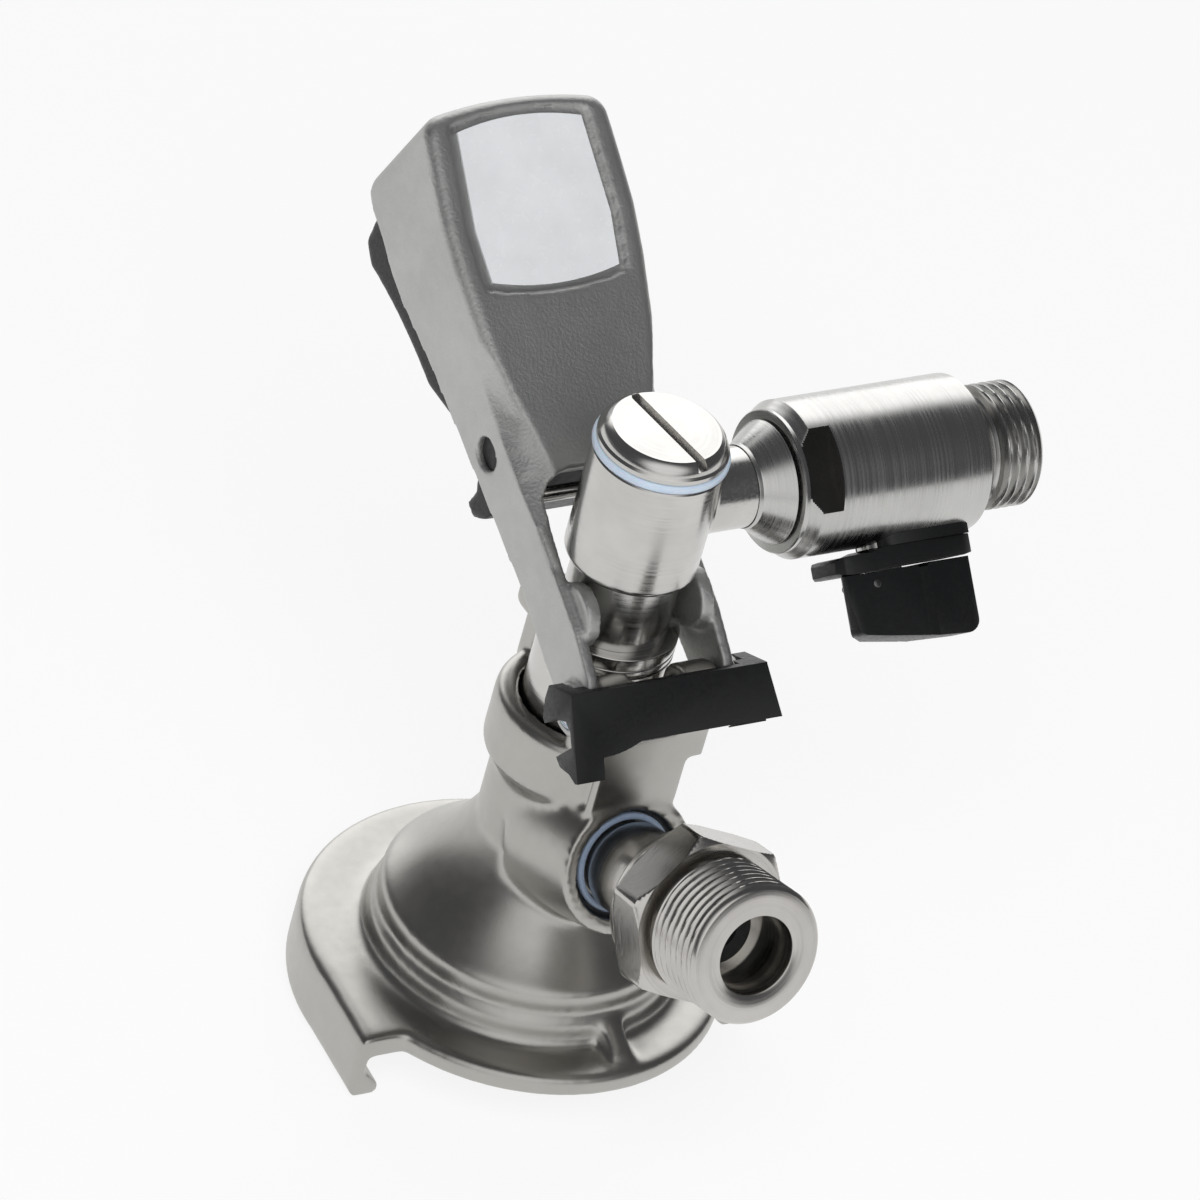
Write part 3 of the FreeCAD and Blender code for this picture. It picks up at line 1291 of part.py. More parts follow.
def make_trigger():
    """Squeeze lever in the back of the handle, with a tail that meets the catch post."""
    body = handle_body("trigger")
    pad(body, "side", "YZ_Plane", [[
        ("TriggerTop", "-GripDepth - 5"),
        ("TriggerTop - 4.5", "-TriggerBack + 0.8"),
        ("TriggerTop - 9", "-TriggerBack", "90", 1),
        ("66", "-26.6"),
        ("54", "-17.8"),
        ("48", "-17.2"),
        ("44.6", "-20.2"),
        ("43.4", "-24.2"),
        ("40.6", "-24.6"),
        ("39.2", "-21.0"),
        ("39.4", "-12.6"),
        ("44.0", "-4.6"),
        ("TriggerPinAt + 3", "-3.0"),
        ("60", "-9.0"),
        ("TriggerTop - 12", "-17.5"),
        ("TriggerTop - 2", "-20.5"),
    ]], "2 * HandleMaxHalf", both=True)
    outline = throat_plan("(WallThickness + TriggerSideGap)", "TriggerTop + 2")
    pocket(body, "plan", "XY_Plane", [around(), outline], "7 * HandleMaxHalf", both=True)
    pocket(body, "pin_hole", "YZ_Plane", [
        ("circle", "TriggerPinAt", "TriggerPinHeight", "TriggerPinRadius + RunGap")],
        "2 * HandleMaxHalf + 2", both=True)
    pin = handle_body("trigger_pin")
    pad(pin, "pin", "YZ_Plane", [("circle", "TriggerPinAt", "TriggerPinHeight", "TriggerPinRadius")],
        "2 * (HandleWaistHalf - TriggerPinRecess - 0.9)", both=True)
    bar = handle_body("latch_bar")
    pad(bar, "bar", "YZ_Plane", [("circle", "LatchBarAt", "LatchBarHeight", "LatchBarRadius")],
        "2 * (ThroatAtBar - LatchBarPlay)", both=True)


def make_hinge_pins():
    for side, name in ((-1, "left"), (1, "right")):
        pin = handle_body("hinge_pin_" + name)
        pad(pin, "pin", "YZ_Plane", [("circle", "0", "0", "HingePinRadius")],
            "PinHeadOuter - LugInner - 0.4", offset="%d * (LugInner + 0.4)" % side, back=side < 0)
        bush = handle_body("hinge_bush_" + name)
        pad(bush, "bush", "YZ_Plane", [
            ("circle", "0", "0", "HingePinRadius + 1"),
            ("circle", "0", "0", "HingePinRadius + SeatGap")],
            "EyeOuter - ArmInner", offset="%d * ArmInner" % side, back=side < 0)


make_handle()
make_label()
make_trigger()
make_hinge_pins()


# Hinge clip: a leaning band over the hinge with cheeks that hold the pins

def clip_body(label):
    body = new_body(label)
    seat(body, y="HingeY", z="HingeZ", turn="-ClipLean")
    return body


def make_clip():
    body = clip_body("hinge_clip")
    front = "-(EyeRadius + ClipGap + ClipBand)"
    pad(body, "block", "YZ_Plane", [[
        (front, "ClipColumnFoot"),
        (front, "ClipBandTop"),
        ("0.4", "ClipBandTop + 1"),
        ("2.1", "ClipBandTop - 1.5"),
        ("ClipProngReach", "-1.2"),
        ("ClipProngReach - 0.5", "-2.2"),
        ("-1", "-1"),
        ("-4.6", "-1.1"),
        ("-5.8", "-2.8"),
        ("-5.9", "-5.6"),
        ("ClipProngReach - 3.6", "-7.9"),
        ("ClipProngReach - 4.7", "-9.6"),
        ("-4.4", "-10.6"),
        ("-6.2", "ClipColumnFoot"),
    ]], "2 * ClipHalfWidth", both=True)
    pocket(body, "inside", "YZ_Plane", [[
        ("%s + ClipBand" % front, "ClipColumnFoot - 1"),
        ("ClipProngReach + 2", "ClipColumnFoot - 1"),
        ("ClipProngReach + 2", "ClipBandTop + 2"),
        ("%s + ClipBand" % front, "ClipBandTop + 2"),
    ]], "2 * (ArmOuter + RunGap)", both=True)
    pocket(body, "eye_room", "YZ_Plane", [("circle", "0", "0", "EyeRadius + ClipGap")],
           "2 * (PinHeadOuter + SeatGap)", both=True)
    pocket(body, "window", "XZ_Plane", [[
        ("-ClipColumnInner", "ClipColumnFoot - 1"),
        ("ClipHalfWidth + 1", "ClipColumnFoot - 1"),
        ("ClipHalfWidth + 1", "-ClipBandFoot"),
        ("-ClipColumnInner + ClipArchLength", "-ClipBandFoot",
         "(ClipArchLength ^ 2 + ClipArch ^ 2) / (2 * ClipArch)", -1),
        ("-ClipColumnInner", "-ClipBandFoot - ClipArch"),
    ]], "ClipBand + 0.6", offset="EyeRadius + ClipGap + ClipBand + 0.5")
    pocket(body, "short_cheek", "YZ_Plane", [[
        ("-EyeRadius - ClipBand - 2", "-ClipBandFoot"),
        ("ClipProngReach + 2", "-ClipBandFoot - 3"),
        ("ClipProngReach + 2", "ClipColumnFoot - 1"),
        ("-EyeRadius - ClipBand - 2", "ClipColumnFoot - 1"),
    ]], "ClipHalfWidth - ArmOuter + 2", offset="ClipHalfWidth + 1")
    pad(body, "flare", "XZ_Plane", [[
        ("ClipHalfWidth - 1", "-ClipBandFoot"),
        ("ClipHalfWidth + ClipFlare", "-ClipBandFoot"),
        ("ClipHalfWidth", "ClipBandTop - 0.3"),
        ("ClipHalfWidth - 1", "ClipBandTop - 0.3"),
    ]], "ClipBand + 1.6", offset="EyeRadius + ClipGap - 1.6")


make_clip()


def check_document():
    """Every object has worked, and every sub-part is one valid solid."""
    doc.recompute()
    for item in doc.Objects:
        if "Invalid" in item.State or "Error" in item.State:
            raise RuntimeError("%s failed: %s" % (item.Label, item.State))
    parts = [item for item in doc.Objects
             if item.TypeId in ("PartDesign::Body", "Part::Sphere")]
    for item in parts:
        shape = item.Shape
        if shape.isNull() or not shape.isValid() or len(shape.Solids) != 1:
            raise RuntimeError("%s has no single valid solid" % item.Label)
    return parts


def write_parts():
    os.makedirs("parts", exist_ok=True)
    for item in check_document():
        item.Shape.exportStep(os.path.join("parts", item.Label + ".step"))
        print("%-20s %10.1f mm3" % (item.Label, item.Shape.Volume))


write_parts()
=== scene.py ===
import bpy
import bmesh
import math
from mathutils import Matrix, Vector


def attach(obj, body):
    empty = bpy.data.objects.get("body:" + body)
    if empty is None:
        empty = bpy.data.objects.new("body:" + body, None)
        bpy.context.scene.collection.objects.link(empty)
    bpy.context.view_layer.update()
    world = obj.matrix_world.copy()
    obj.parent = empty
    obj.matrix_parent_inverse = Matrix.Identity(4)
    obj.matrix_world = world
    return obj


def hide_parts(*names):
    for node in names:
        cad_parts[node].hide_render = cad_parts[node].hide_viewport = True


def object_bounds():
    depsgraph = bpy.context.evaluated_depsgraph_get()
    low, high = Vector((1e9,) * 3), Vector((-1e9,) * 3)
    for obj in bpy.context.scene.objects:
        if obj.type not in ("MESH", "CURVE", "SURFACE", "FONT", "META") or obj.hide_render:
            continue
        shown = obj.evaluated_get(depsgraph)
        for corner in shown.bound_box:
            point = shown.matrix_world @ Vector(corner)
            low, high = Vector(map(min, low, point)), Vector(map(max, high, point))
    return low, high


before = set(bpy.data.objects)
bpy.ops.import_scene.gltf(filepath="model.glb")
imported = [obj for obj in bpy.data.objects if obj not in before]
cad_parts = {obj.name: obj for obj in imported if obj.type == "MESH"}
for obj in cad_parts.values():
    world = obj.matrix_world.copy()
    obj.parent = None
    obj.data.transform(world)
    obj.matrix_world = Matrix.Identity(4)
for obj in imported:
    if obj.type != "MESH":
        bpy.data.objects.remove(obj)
cad_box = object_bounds()

MM = 0.001
# Radii nearer than this count as the same
SLACK = 0.01

# Sizes that repeat the part's own, in millimetres and degrees
GAS_AXIS_HEIGHT = 34.5
GAS_TILT = 18.3
OUTLET_HEIGHT = 107.3
VALVE_ROLL = 45.0
HINGE = (0.0, -16.5, 76.0)
HANDLE_ANGLE = 38.0
THREAD_PITCH = 1.814
THREAD_DEPTH = 1.16
GAS_CREST = 13.22
OUTLET_CREST = 11.46
VALVE_RADIUS = 14.4
PROBE_RADIUS = 12.35


def place(x, y, z, turn=0.0):
    """Millimetre frame at a point, turned about X by degrees."""
    spot = Matrix.Translation(Vector((x, y, z)) * MM)
    return spot @ Matrix.Rotation(math.radians(turn), 4, "X") @ Matrix.Scale(MM, 4)


UPRIGHT = place(0, 0, 0)
GAS = place(0, 0, GAS_AXIS_HEIGHT, -GAS_TILT) @ Matrix.Rotation(math.radians(90), 4, "X")
LEVER = place(0, 0, OUTLET_HEIGHT, -VALVE_ROLL)
VALVE = LEVER @ Matrix.Rotation(math.radians(90), 4, "Y")
OUTLET = place(0, 0, OUTLET_HEIGHT) @ Matrix.Rotation(math.radians(90), 4, "Y")
HANDLE = place(*HINGE, HANDLE_ANGLE)


# Node tree helpers

CLOUD_SCALE = 60
SPOT_SCALE = 420
RING_SCALE = 2600
TURNED_CLOUD_SCALE = 90
PLASTIC_CLOUD_SCALE = 120
GRAIN_STRENGTH = 0.55
RING_STRENGTH = 0.35
RING_DEPTH = 0.00002
PLASTIC_STRENGTH = 0.4


def new_material(name, color, metallic, roughness):
    mat = bpy.data.materials.new(name)
    mat.use_nodes = True
    tree = mat.node_tree
    shader = tree.nodes["Principled BSDF"]
    shader.inputs["Base Color"].default_value = (*color, 1)
    shader.inputs["Metallic"].default_value = metallic
    shader.inputs["Roughness"].default_value = roughness
    return mat, tree, shader


def link(tree, a, out, b, socket):
    tree.links.new(a.outputs[out], b.inputs[socket])


def noise(tree, scale, detail, rough=0.55):
    coords = tree.nodes.new("ShaderNodeTexCoord")
    texture = tree.nodes.new("ShaderNodeTexNoise")
    texture.inputs["Scale"].default_value = scale
    texture.inputs["Detail"].default_value = detail
    texture.inputs["Roughness"].default_value = rough
    link(tree, coords, "Object", texture, "Vector")
    return texture


def ramp(tree, source, low, high, at=(0.35, 0.65), out="Fac"):
    node = tree.nodes.new("ShaderNodeValToRGB")
    for element, position, color in zip(node.color_ramp.elements, at, (low, high)):
        element.position = position
        element.color = (*color, 1)
    link(tree, source, out, node, "Fac")
    return node


def grey(v):
    return (v, v, v)


def shaded(color, share):
    return tuple(c * share for c in color)


def bump(tree, shader, source, strength, distance, before=None):
    node = tree.nodes.new("ShaderNodeBump")
    node.inputs["Strength"].default_value = strength
    node.inputs["Distance"].default_value = distance
    link(tree, source, "Fac", node, "Height")
    if before is not None:
        link(tree, before, "Normal", node, "Normal")
    link(tree, node, "Normal", shader, "Normal")
    return node


def cast_metal(name, low, high, roughness, grain, depth, waves):
    """Blasted casting: fine peened grain, cloudy tone and a little uneven gloss."""
    mat, tree, shader = new_material(name, high, 1.0, roughness)
    tone = ramp(tree, noise(tree, CLOUD_SCALE, 4), low, high, (0.3, 0.7))
    link(tree, tone, "Color", shader, "Base Color")
    spots = noise(tree, SPOT_SCALE, 3)
    gloss = ramp(tree, spots, grey(roughness - 0.02), grey(roughness + 0.02))
    link(tree, gloss, "Color", shader, "Roughness")
    fine = bump(tree, shader, noise(tree, grain, 2, 0.5), GRAIN_STRENGTH, depth)
    bump(tree, shader, noise(tree, grain / 7, 2), waves, depth * 3, before=fine)
    return mat


def turned_metal(name, color, roughness, matrix):
    """Turned and polished steel: faint rings left by the tool around the matrix's Z axis."""
    mat, tree, shader = new_material(name, color, 1.0, roughness)
    local = matrix.normalized().inverted()
    coords = tree.nodes.new("ShaderNodeTexCoord")
    mapping = tree.nodes.new("ShaderNodeMapping")
    mapping.inputs["Location"].default_value = local.translation
    mapping.inputs["Rotation"].default_value = local.to_euler("XYZ")
    link(tree, coords, "Object", mapping, "Vector")
    split = tree.nodes.new("ShaderNodeSeparateXYZ")
    link(tree, mapping, "Vector", split, "Vector")
    across = tree.nodes.new("ShaderNodeCombineXYZ")
    link(tree, split, "X", across, "X")
    link(tree, split, "Y", across, "Y")
    length = tree.nodes.new("ShaderNodeVectorMath")
    length.operation = "LENGTH"
    link(tree, across, "Vector", length, 0)
    place_on = tree.nodes.new("ShaderNodeCombineXYZ")
    link(tree, length, "Value", place_on, "X")
    link(tree, split, "Z", place_on, "Y")
    rings = tree.nodes.new("ShaderNodeTexNoise")
    rings.inputs["Scale"].default_value = RING_SCALE
    rings.inputs["Detail"].default_value = 3
    link(tree, place_on, "Vector", rings, "Vector")
    gloss = ramp(tree, rings, grey(roughness - 0.05), grey(roughness + 0.07))
    link(tree, gloss, "Color", shader, "Roughness")
    tone = ramp(tree, noise(tree, TURNED_CLOUD_SCALE, 3), shaded(color, 0.9), color)
    link(tree, tone, "Color", shader, "Base Color")
    bump(tree, shader, rings, RING_STRENGTH, RING_DEPTH)
    return mat


def plastic(name, color, roughness, grain, depth, coat=0.0):
    """Moulded plastic: fine grain, nearly even tone, an optional clear coat."""
    mat, tree, shader = new_material(name, color, 0.0, roughness)
    fine = noise(tree, grain, 3)
    tone = ramp(tree, noise(tree, PLASTIC_CLOUD_SCALE, 3), shaded(color, 0.94), color)
    link(tree, tone, "Color", shader, "Base Color")
    gloss = ramp(tree, fine, grey(roughness - 0.07), grey(roughness + 0.08))
    link(tree, gloss, "Color", shader, "Roughness")
    bump(tree, shader, fine, PLASTIC_STRENGTH, depth)
    shader.inputs["Coat Weight"].default_value = coat
    return mat


M = {
    "body": cast_metal("blasted_steel", (0.43, 0.42, 0.395), (0.46, 0.45, 0.425),
                       0.33, 2300, 0.00002, 0.06),
    "handle": cast_metal("blasted_handle", (0.52, 0.525, 0.51), (0.57, 0.575, 0.56),
                         0.54, 1700, 0.00016, 0.15),
    "up": turned_metal("turned_upright", (0.60, 0.59, 0.57), 0.20, UPRIGHT),
    "side": turned_metal("turned_outlet", (0.55, 0.545, 0.53), 0.24, OUTLET),
    "gas": turned_metal("turned_gas", (0.56, 0.545, 0.52), 0.20, GAS),
    "pin": turned_metal("dull_pin", (0.16, 0.16, 0.16), 0.35, OUTLET),
    # Near-black steel for the valve's two flats: painted shade on the flats
    "flat": cast_metal("flat_painted_shade", (0.035, 0.034, 0.032), (0.06, 0.058, 0.055),
                       0.55, 1500, 0.00006, 0.35),
    "black": plastic("black_plastic", (0.007, 0.0075, 0.008), 0.40, 1500, 0.00003),
    "rubber": plastic("black_rubber", (0.008, 0.008, 0.008), 0.6, 900, 0.00003),
    "seal": plastic("seal_plastic", (0.56, 0.66, 0.78), 0.35, 700, 0.00002, 0.2),
    "shaded": plastic("seal_in_shade", (0.22, 0.28, 0.38), 0.3, 700, 0.00002, 0.2),
    "label": plastic("label_film", (0.76, 0.775, 0.79), 0.22, 500, 0.000004, 0.3),
}
SHADER_EXTRAS = (
    ("black", "Specular IOR Level", 0.35),
    ("seal", "Subsurface Weight", 0.25),
    ("seal", "Subsurface Scale", 0.002),
)
for key, socket, value in SHADER_EXTRAS:
    M[key].node_tree.nodes["Principled BSDF"].inputs[socket].default_value = value


# Mesh helpers

SMOOTH_ANGLE = 32
EASE_STEPS = 3
STRAIGHT = -0.97
CAD_MERGE = 2e-6
MESH_MERGE = 1e-7


def apply_modifiers(obj):
    bpy.context.view_layer.update()
    graph = bpy.context.evaluated_depsgraph_get()
    mesh = bpy.data.meshes.new_from_object(obj.evaluated_get(graph))
    obj.modifiers.clear()
    obj.data = mesh


def make_smooth(mesh, angle=None):
    mesh.polygons.foreach_set("use_smooth", [True] * len(mesh.polygons))
    if angle is not None:
        mesh.set_sharp_from_angle(angle=math.radians(angle))


def round_edges(obj, width, segments, angle):
    bevel = obj.modifiers.new("round", "BEVEL")
    bevel.width = width * MM
    bevel.segments = segments
    bevel.limit_method = "ANGLE"
    bevel.angle_limit = math.radians(angle)
    apply_modifiers(obj)


def into_scene(name, mesh):
    obj = bpy.data.objects.new(name, mesh)
    bpy.context.scene.collection.objects.link(obj)
    return obj


def belongs(obj, body, slot, *nodes):
    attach(obj, body)
    if nodes:
        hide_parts(*nodes)


def add_object(name, verts, faces, mat, matrix, body, slot, nodes=()):
    mesh = bpy.data.meshes.new(name)
    mesh.from_pydata([matrix @ Vector(v) for v in verts], [], faces)
    mesh.materials.append(mat)
    work = bmesh.new()
    work.from_mesh(mesh)
    bmesh.ops.remove_doubles(work, verts=work.verts, dist=MESH_MERGE)
    bmesh.ops.recalc_face_normals(work, faces=work.faces)
    work.to_mesh(mesh)
    work.free()
    make_smooth(mesh, SMOOTH_ANGLE)
    obj = into_scene(name, mesh)
    belongs(obj, body, slot, *nodes)
    return obj


def eased(points, size):
    """Rounds every corner of a closed profile by up to size."""
    out = []
    count = len(points)
    for i, (a, r) in enumerate(points):
        here = Vector((a, r))
        one = Vector(points[i - 1]) - here
        two = Vector(points[(i + 1) % count]) - here
        if one.normalized().dot(two.normalized()) < STRAIGHT:
            out.append((a, r))
            continue
        cut = min(size, one.length * 0.45, two.length * 0.45)
        start = here + one.normalized() * cut
        end = here + two.normalized() * cut
        for k in range(EASE_STEPS + 1):
            t = k / EASE_STEPS
            p = (1 - t) ** 2 * start + 2 * t * (1 - t) * here + t * t * end
            out.append((p.x, max(p.y, 0.0)))
    return out


def loft(count, row, closed):
    """Faces between rings of row points each, and from the last ring to the first if closed."""
    faces = []
    for i in range(count if closed else count - 1):
        low = i * row
        high = ((i + 1) % count) * row
        for j in range(row):
            k = (j + 1) % row
            faces.append((low + j, low + k, high + k, high + j))
    return faces


def lathe(name, profile, mat, matrix, body, slot, nodes=(), ease=0, segments=128, radius=None):
    """Closed profile of (axial, radius) turned around Z; radius(axial, r, angle) may shape it."""
    rows = eased(profile, ease) if ease else profile
    verts = []
    for a, r in rows:
        for j in range(segments):
            t = 2 * math.pi * j / segments
            rr = radius(a, r, t) if radius else r
            verts.append((rr * math.cos(t), rr * math.sin(t), a))
    faces = loft(len(rows), segments, True)
    return add_object(name, verts, faces, mat, matrix, body, slot, nodes)


def thread_rows(start, end, crest):
    """Rows for a threaded stretch, twelve to a turn of the thread."""
    count = int((end - start) / (THREAD_PITCH / 12))
    return [(start + (end - start) * i / count, crest) for i in range(count + 1)]


def thread_radius(start, end, crest):
    """Helical V groove between start and end that runs out at both ends."""
    land = 0.12
    slope = 0.76
    run_out = 0.5

    def radius(a, r, t):
        if a < start or a > end or abs(r - crest) > SLACK:
            return r
        phase = ((a - start) / THREAD_PITCH - t / (2 * math.pi)) % 1.0
        tri = 1 - abs(2 * phase - 1)
        groove = min(max((tri - land) / slope, 0.0), 1.0)
        edge = min((a - start) / run_out, (end - a) / run_out, 1.0)
        return r - THREAD_DEPTH * groove * max(edge, 0.0)
    return radius


def node_copy(node, name, mat, flatten=False):
    """A new object with the node's own shape, its flat faces joined if flatten."""
    work = bmesh.new()
    work.from_mesh(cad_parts[node].data)
    bmesh.ops.remove_doubles(work, verts=work.verts, dist=CAD_MERGE)
    if flatten:
        bmesh.ops.dissolve_limit(work, angle_limit=math.radians(1.5),
                                 verts=work.verts, edges=work.edges)
    mesh = bpy.data.meshes.new(name)
    work.to_mesh(mesh)
    work.free()
    mesh.materials.clear()
    mesh.materials.append(mat)
    return into_scene(name, mesh)


def rounded_copy(node, name, mat, body, slot, width):
    """The node's own shape with every sharp edge rounded, as moulding leaves it."""
    obj = node_copy(node, name, mat, flatten=True)
    round_edges(obj, width, 2, 28)
    make_smooth(obj.data, 40)
    belongs(obj, body, slot, node)


def soften(obj, name, passes, group=""):
    smooth = obj.modifiers.new(name, "SMOOTH")
    smooth.factor = 0.5
    smooth.iterations = passes
    smooth.vertex_group = group


def cast_copy(node, name, mat, body, slot, voxel, passes, keep=1.0, blend=None):
    """The node's own shape with the soft edges of a casting, softer still where blend says."""
    obj = node_copy(node, name, mat)
    remesh = obj.modifiers.new("remesh", "REMESH")
    remesh.mode = "VOXEL"
    remesh.voxel_size = voxel * MM
    apply_modifiers(obj)
    if blend:
        group = obj.vertex_groups.new(name="blend")
        for vert in obj.data.vertices:
            weight = blend(*(vert.co / MM))
            if weight > 0:
                group.add([vert.index], min(weight, 1.0), "REPLACE")
        soften(obj, "soft", 45, "blend")
    soften(obj, "smooth", passes)
    if keep < 1:
        thin = obj.modifiers.new("thin", "DECIMATE")
        thin.ratio = keep
    apply_modifiers(obj)
    make_smooth(obj.data)
    belongs(obj, body, slot, node)


# Castings

STEP_WEIGHT = 0.5
STEP_LOW, STEP_HIGH, STEP_SPOKE = 2, 17, 21
BARREL_RADIUS = 14.3
BARREL_FOOT = 33
CONE_RADIUS, CONE_FOOT, CONE_SLOPE = 27.9, 14.9, 0.757
BOSS_RADIUS = 14.2
BOSS_START, BOSS_END, BOSS_LOW, BOSS_SPOKE = 4, 24, 12, 13.2
BLEND_PEAK = 1.5
BLEND_REACH = 4.5


def body_blend(x, y, z):
    """Half on the steps of the base, near 1 where the gas boss runs into barrel and cone."""
    spoke = math.hypot(x, y)
    if STEP_LOW < z < STEP_HIGH and spoke > STEP_SPOKE:
        return STEP_WEIGHT
    wall = BARREL_RADIUS if z > BARREL_FOOT else CONE_RADIUS - (z - CONE_FOOT) * CONE_SLOPE
    turn = math.radians(GAS_TILT)
    along = -y * math.cos(turn) + (z - GAS_AXIS_HEIGHT) * math.sin(turn)
    up = y * math.sin(turn) + (z - GAS_AXIS_HEIGHT) * math.cos(turn)
    ring = math.hypot(x, up)
    if along < BOSS_START or along > BOSS_END or z < BOSS_LOW or spoke < BOSS_SPOKE:
        return 0.0
    miss = abs(spoke - wall) + abs(ring - BOSS_RADIUS)
    return BLEND_PEAK - miss / BLEND_REACH


cast_copy("body_casting", "body_shell", M["body"], "body", "cast_steel", 0.6, 8,
          blend=body_blend)
cast_copy("handle_frame", "handle_shell", M["handle"], "handle", "cast_handle", 0.5, 5)
cast_copy("trigger", "trigger_lever", M["black"], "squeeze", "black_plastic", 0.6, 8, keep=0.3)


# Turned parts of the probe and the elbow

GROOVE_RADIUS = 10.3
SKIRT_BORE = 7.6
HEAD_BORE = 7.65
FLOW_BORE = 5.0

lathe("plunger", [(76.9, HEAD_BORE), (76.9, 11.75), (76.4, 11.75), (76.4, PROBE_RADIUS),
                  (60.7, PROBE_RADIUS), (60.7, GROOVE_RADIUS), (58.1, GROOVE_RADIUS),
                  (58.1, PROBE_RADIUS), (56.3, PROBE_RADIUS), (56.3, GROOVE_RADIUS),
                  (53.7, GROOVE_RADIUS), (53.7, PROBE_RADIUS), (51.5, PROBE_RADIUS),
                  (50, 10.85), (50, SKIRT_BORE), (6.0, SKIRT_BORE), (6.0, 6.5), (2.2, 6.5),
                  (2.2, FLOW_BORE), (65.9, FLOW_BORE), (65.9, HEAD_BORE)],
      M["up"], UPRIGHT, "probe", "turned_steel", ("probe_plunger",), ease=0.15, segments=160)
lathe("ring", [(76.95, 7.7), (76.95, PROBE_RADIUS), (78.1, PROBE_RADIUS), (78.25, 12.1),
               (78.4, PROBE_RADIUS), (80.9, PROBE_RADIUS), (80.9, 7.7)],
      M["up"], UPRIGHT, "probe", "turned_steel", ("swivel_ring",), ease=0.3, segments=160)
lathe("cap_seal", [(118.7, 8.6), (118.7, 12.55), (120.45, 12.55), (120.45, 8.6)],
      M["seal"], UPRIGHT, "outlet", "seal_plastic", ("cap_seal_ring",), ease=0.8)
lathe("gas_seal", [(22.7, 8.3), (22.7, 9.6), (24.2, 9.6), (24.2, 8.3)],
      M["shaded"], GAS, "body", "seal_plastic", ("gas_seal_ring",), ease=0.6)


# Valve tail, body and end

lathe("valve_cone", [(19.1, 5), (19.1, 7.6), (20, 7.6), (24.9, 11.3), (25.3, 9.7), (33, 9.7),
                     (33, 6.5), (27, 6.5), (23, 5)],
      M["side"], VALVE, "outlet", "turned_steel", ("valve_tail",), ease=0.15)

# Two flats on the body: where they start and end, and how far they are from the axis. The
# distance puts their long edges on a line of the body's own mesh.
SHELL_SEGMENTS = 256
FLAT_START, FLAT_END = 26.3, 32.6
FLAT_AWAY = VALVE_RADIUS * math.cos(math.radians(23 * 360 / SHELL_SEGMENTS))


def valve_radius(a, r, t):
    if FLAT_START < a < FLAT_END and r > 11:
        c = abs(math.sin(t))
        return min(r, FLAT_AWAY / c) if c > 0.5 else r
    return r


body_rows = [(25.4, 9.65), (25.4, 12.8), (25.6, 13.0), (26.29, 13.0), (26.31, 13.0),
             (26.6, 13.2), (26.9, 13.4), (27.2, 13.6), (27.5, 13.82), (27.8, 14.04),
             (28.1, 14.25)]
body_rows += [(a, VALVE_RADIUS) for a in (28.3, 30.5, 32.59, 32.61, 33.5, 35.4, 44, 56, 63.5)]
body_rows += [(63.9, 14.35), (64.9, 13.35), (65.05, 13.1), (65.1, 12.9), (65.1, 10.45),
              (35.5, 10.45), (35.5, 6.5), (33.05, 6.5), (33.05, 9.65)]
valve_shell = lathe("valve_shell", body_rows, M["side"], VALVE, "outlet", "turned_steel",
                    ("valve_body",), segments=SHELL_SEGMENTS, radius=valve_radius)
# Faces on the two flats get the near-black flat material: painted shade
valve_shell.data.materials.append(M["flat"])
into_valve = VALVE.inverted()
for face in valve_shell.data.polygons:
    spot = into_valve @ face.center
    if FLAT_START < spot.z < FLAT_END and abs(abs(spot.y) - FLAT_AWAY) < 0.03:
        face.material_index = 1

OUTLET_THREAD = (68.4, 76.4, OUTLET_CREST)
end_rows = [(56.1, 6.5), (56.1, 10.4), (65.1, 10.4), (65.1, 9.8), (67.7, 9.8), (68.3, 10.3)]
end_rows += thread_rows(*OUTLET_THREAD)
end_rows += [(76.9, 11.0), (77.35, 10.35), (77.4, 10.2), (77.4, 7.2), (77.35, 7.05),
             (76.8, 6.5)]
lathe("outlet_thread", end_rows, M["side"], VALVE, "outlet", "turned_steel",
      ("valve_end_fitting",), segments=180, radius=thread_radius(*OUTLET_THREAD))


# Gas inlet fitting with its hexagon

GAS_THREAD = (55.0, 67.9, GAS_CREST)
gas_rows = [(16.6, 4.6), (16.6, 8.15), (22.8, 8.15), (22.8, 7.9), (25.8, 7.9), (25.8, 8.6),
            (26.1, 8.7), (48.2, 8.7), (48.2, 11.9), (54.6, 11.9)]
gas_rows += thread_rows(*GAS_THREAD)
gas_rows += [(68.3, 12.95), (68.55, 12.65), (68.6, 12.5), (68.6, 7.75), (68.5, 7.55),
             (68.3, 7.45), (56.6, 7.45), (56.6, 6.3), (55.1, 6.3), (55.1, 4.6)]
lathe("gas_fitting", gas_rows, M["gas"], GAS, "body", "turned_steel", ("gas_inlet_fitting",),
      segments=192, radius=thread_radius(*GAS_THREAD))

HEX_BACK, HEX_FRONT = 44.6, 53.4
HEX_CORNER = 17.05
HEX_TURN = 38.6
HEX_BORE = 8.8
HEX_BEVEL = 0.6


def hexagon_radius(a, r, t):
    """Six flats whose corners are turned down toward both ends."""
    if r < HEX_CORNER - SLACK:
        return r
    flat = HEX_CORNER * math.cos(math.pi / 6)
    u = (t - math.radians(HEX_TURN)) % (math.pi / 3) - math.pi / 6
    depth = min(a - HEX_BACK, HEX_FRONT - a)
    return min(flat / math.cos(u), flat - 0.1 + HEX_BEVEL + depth * 1.5)


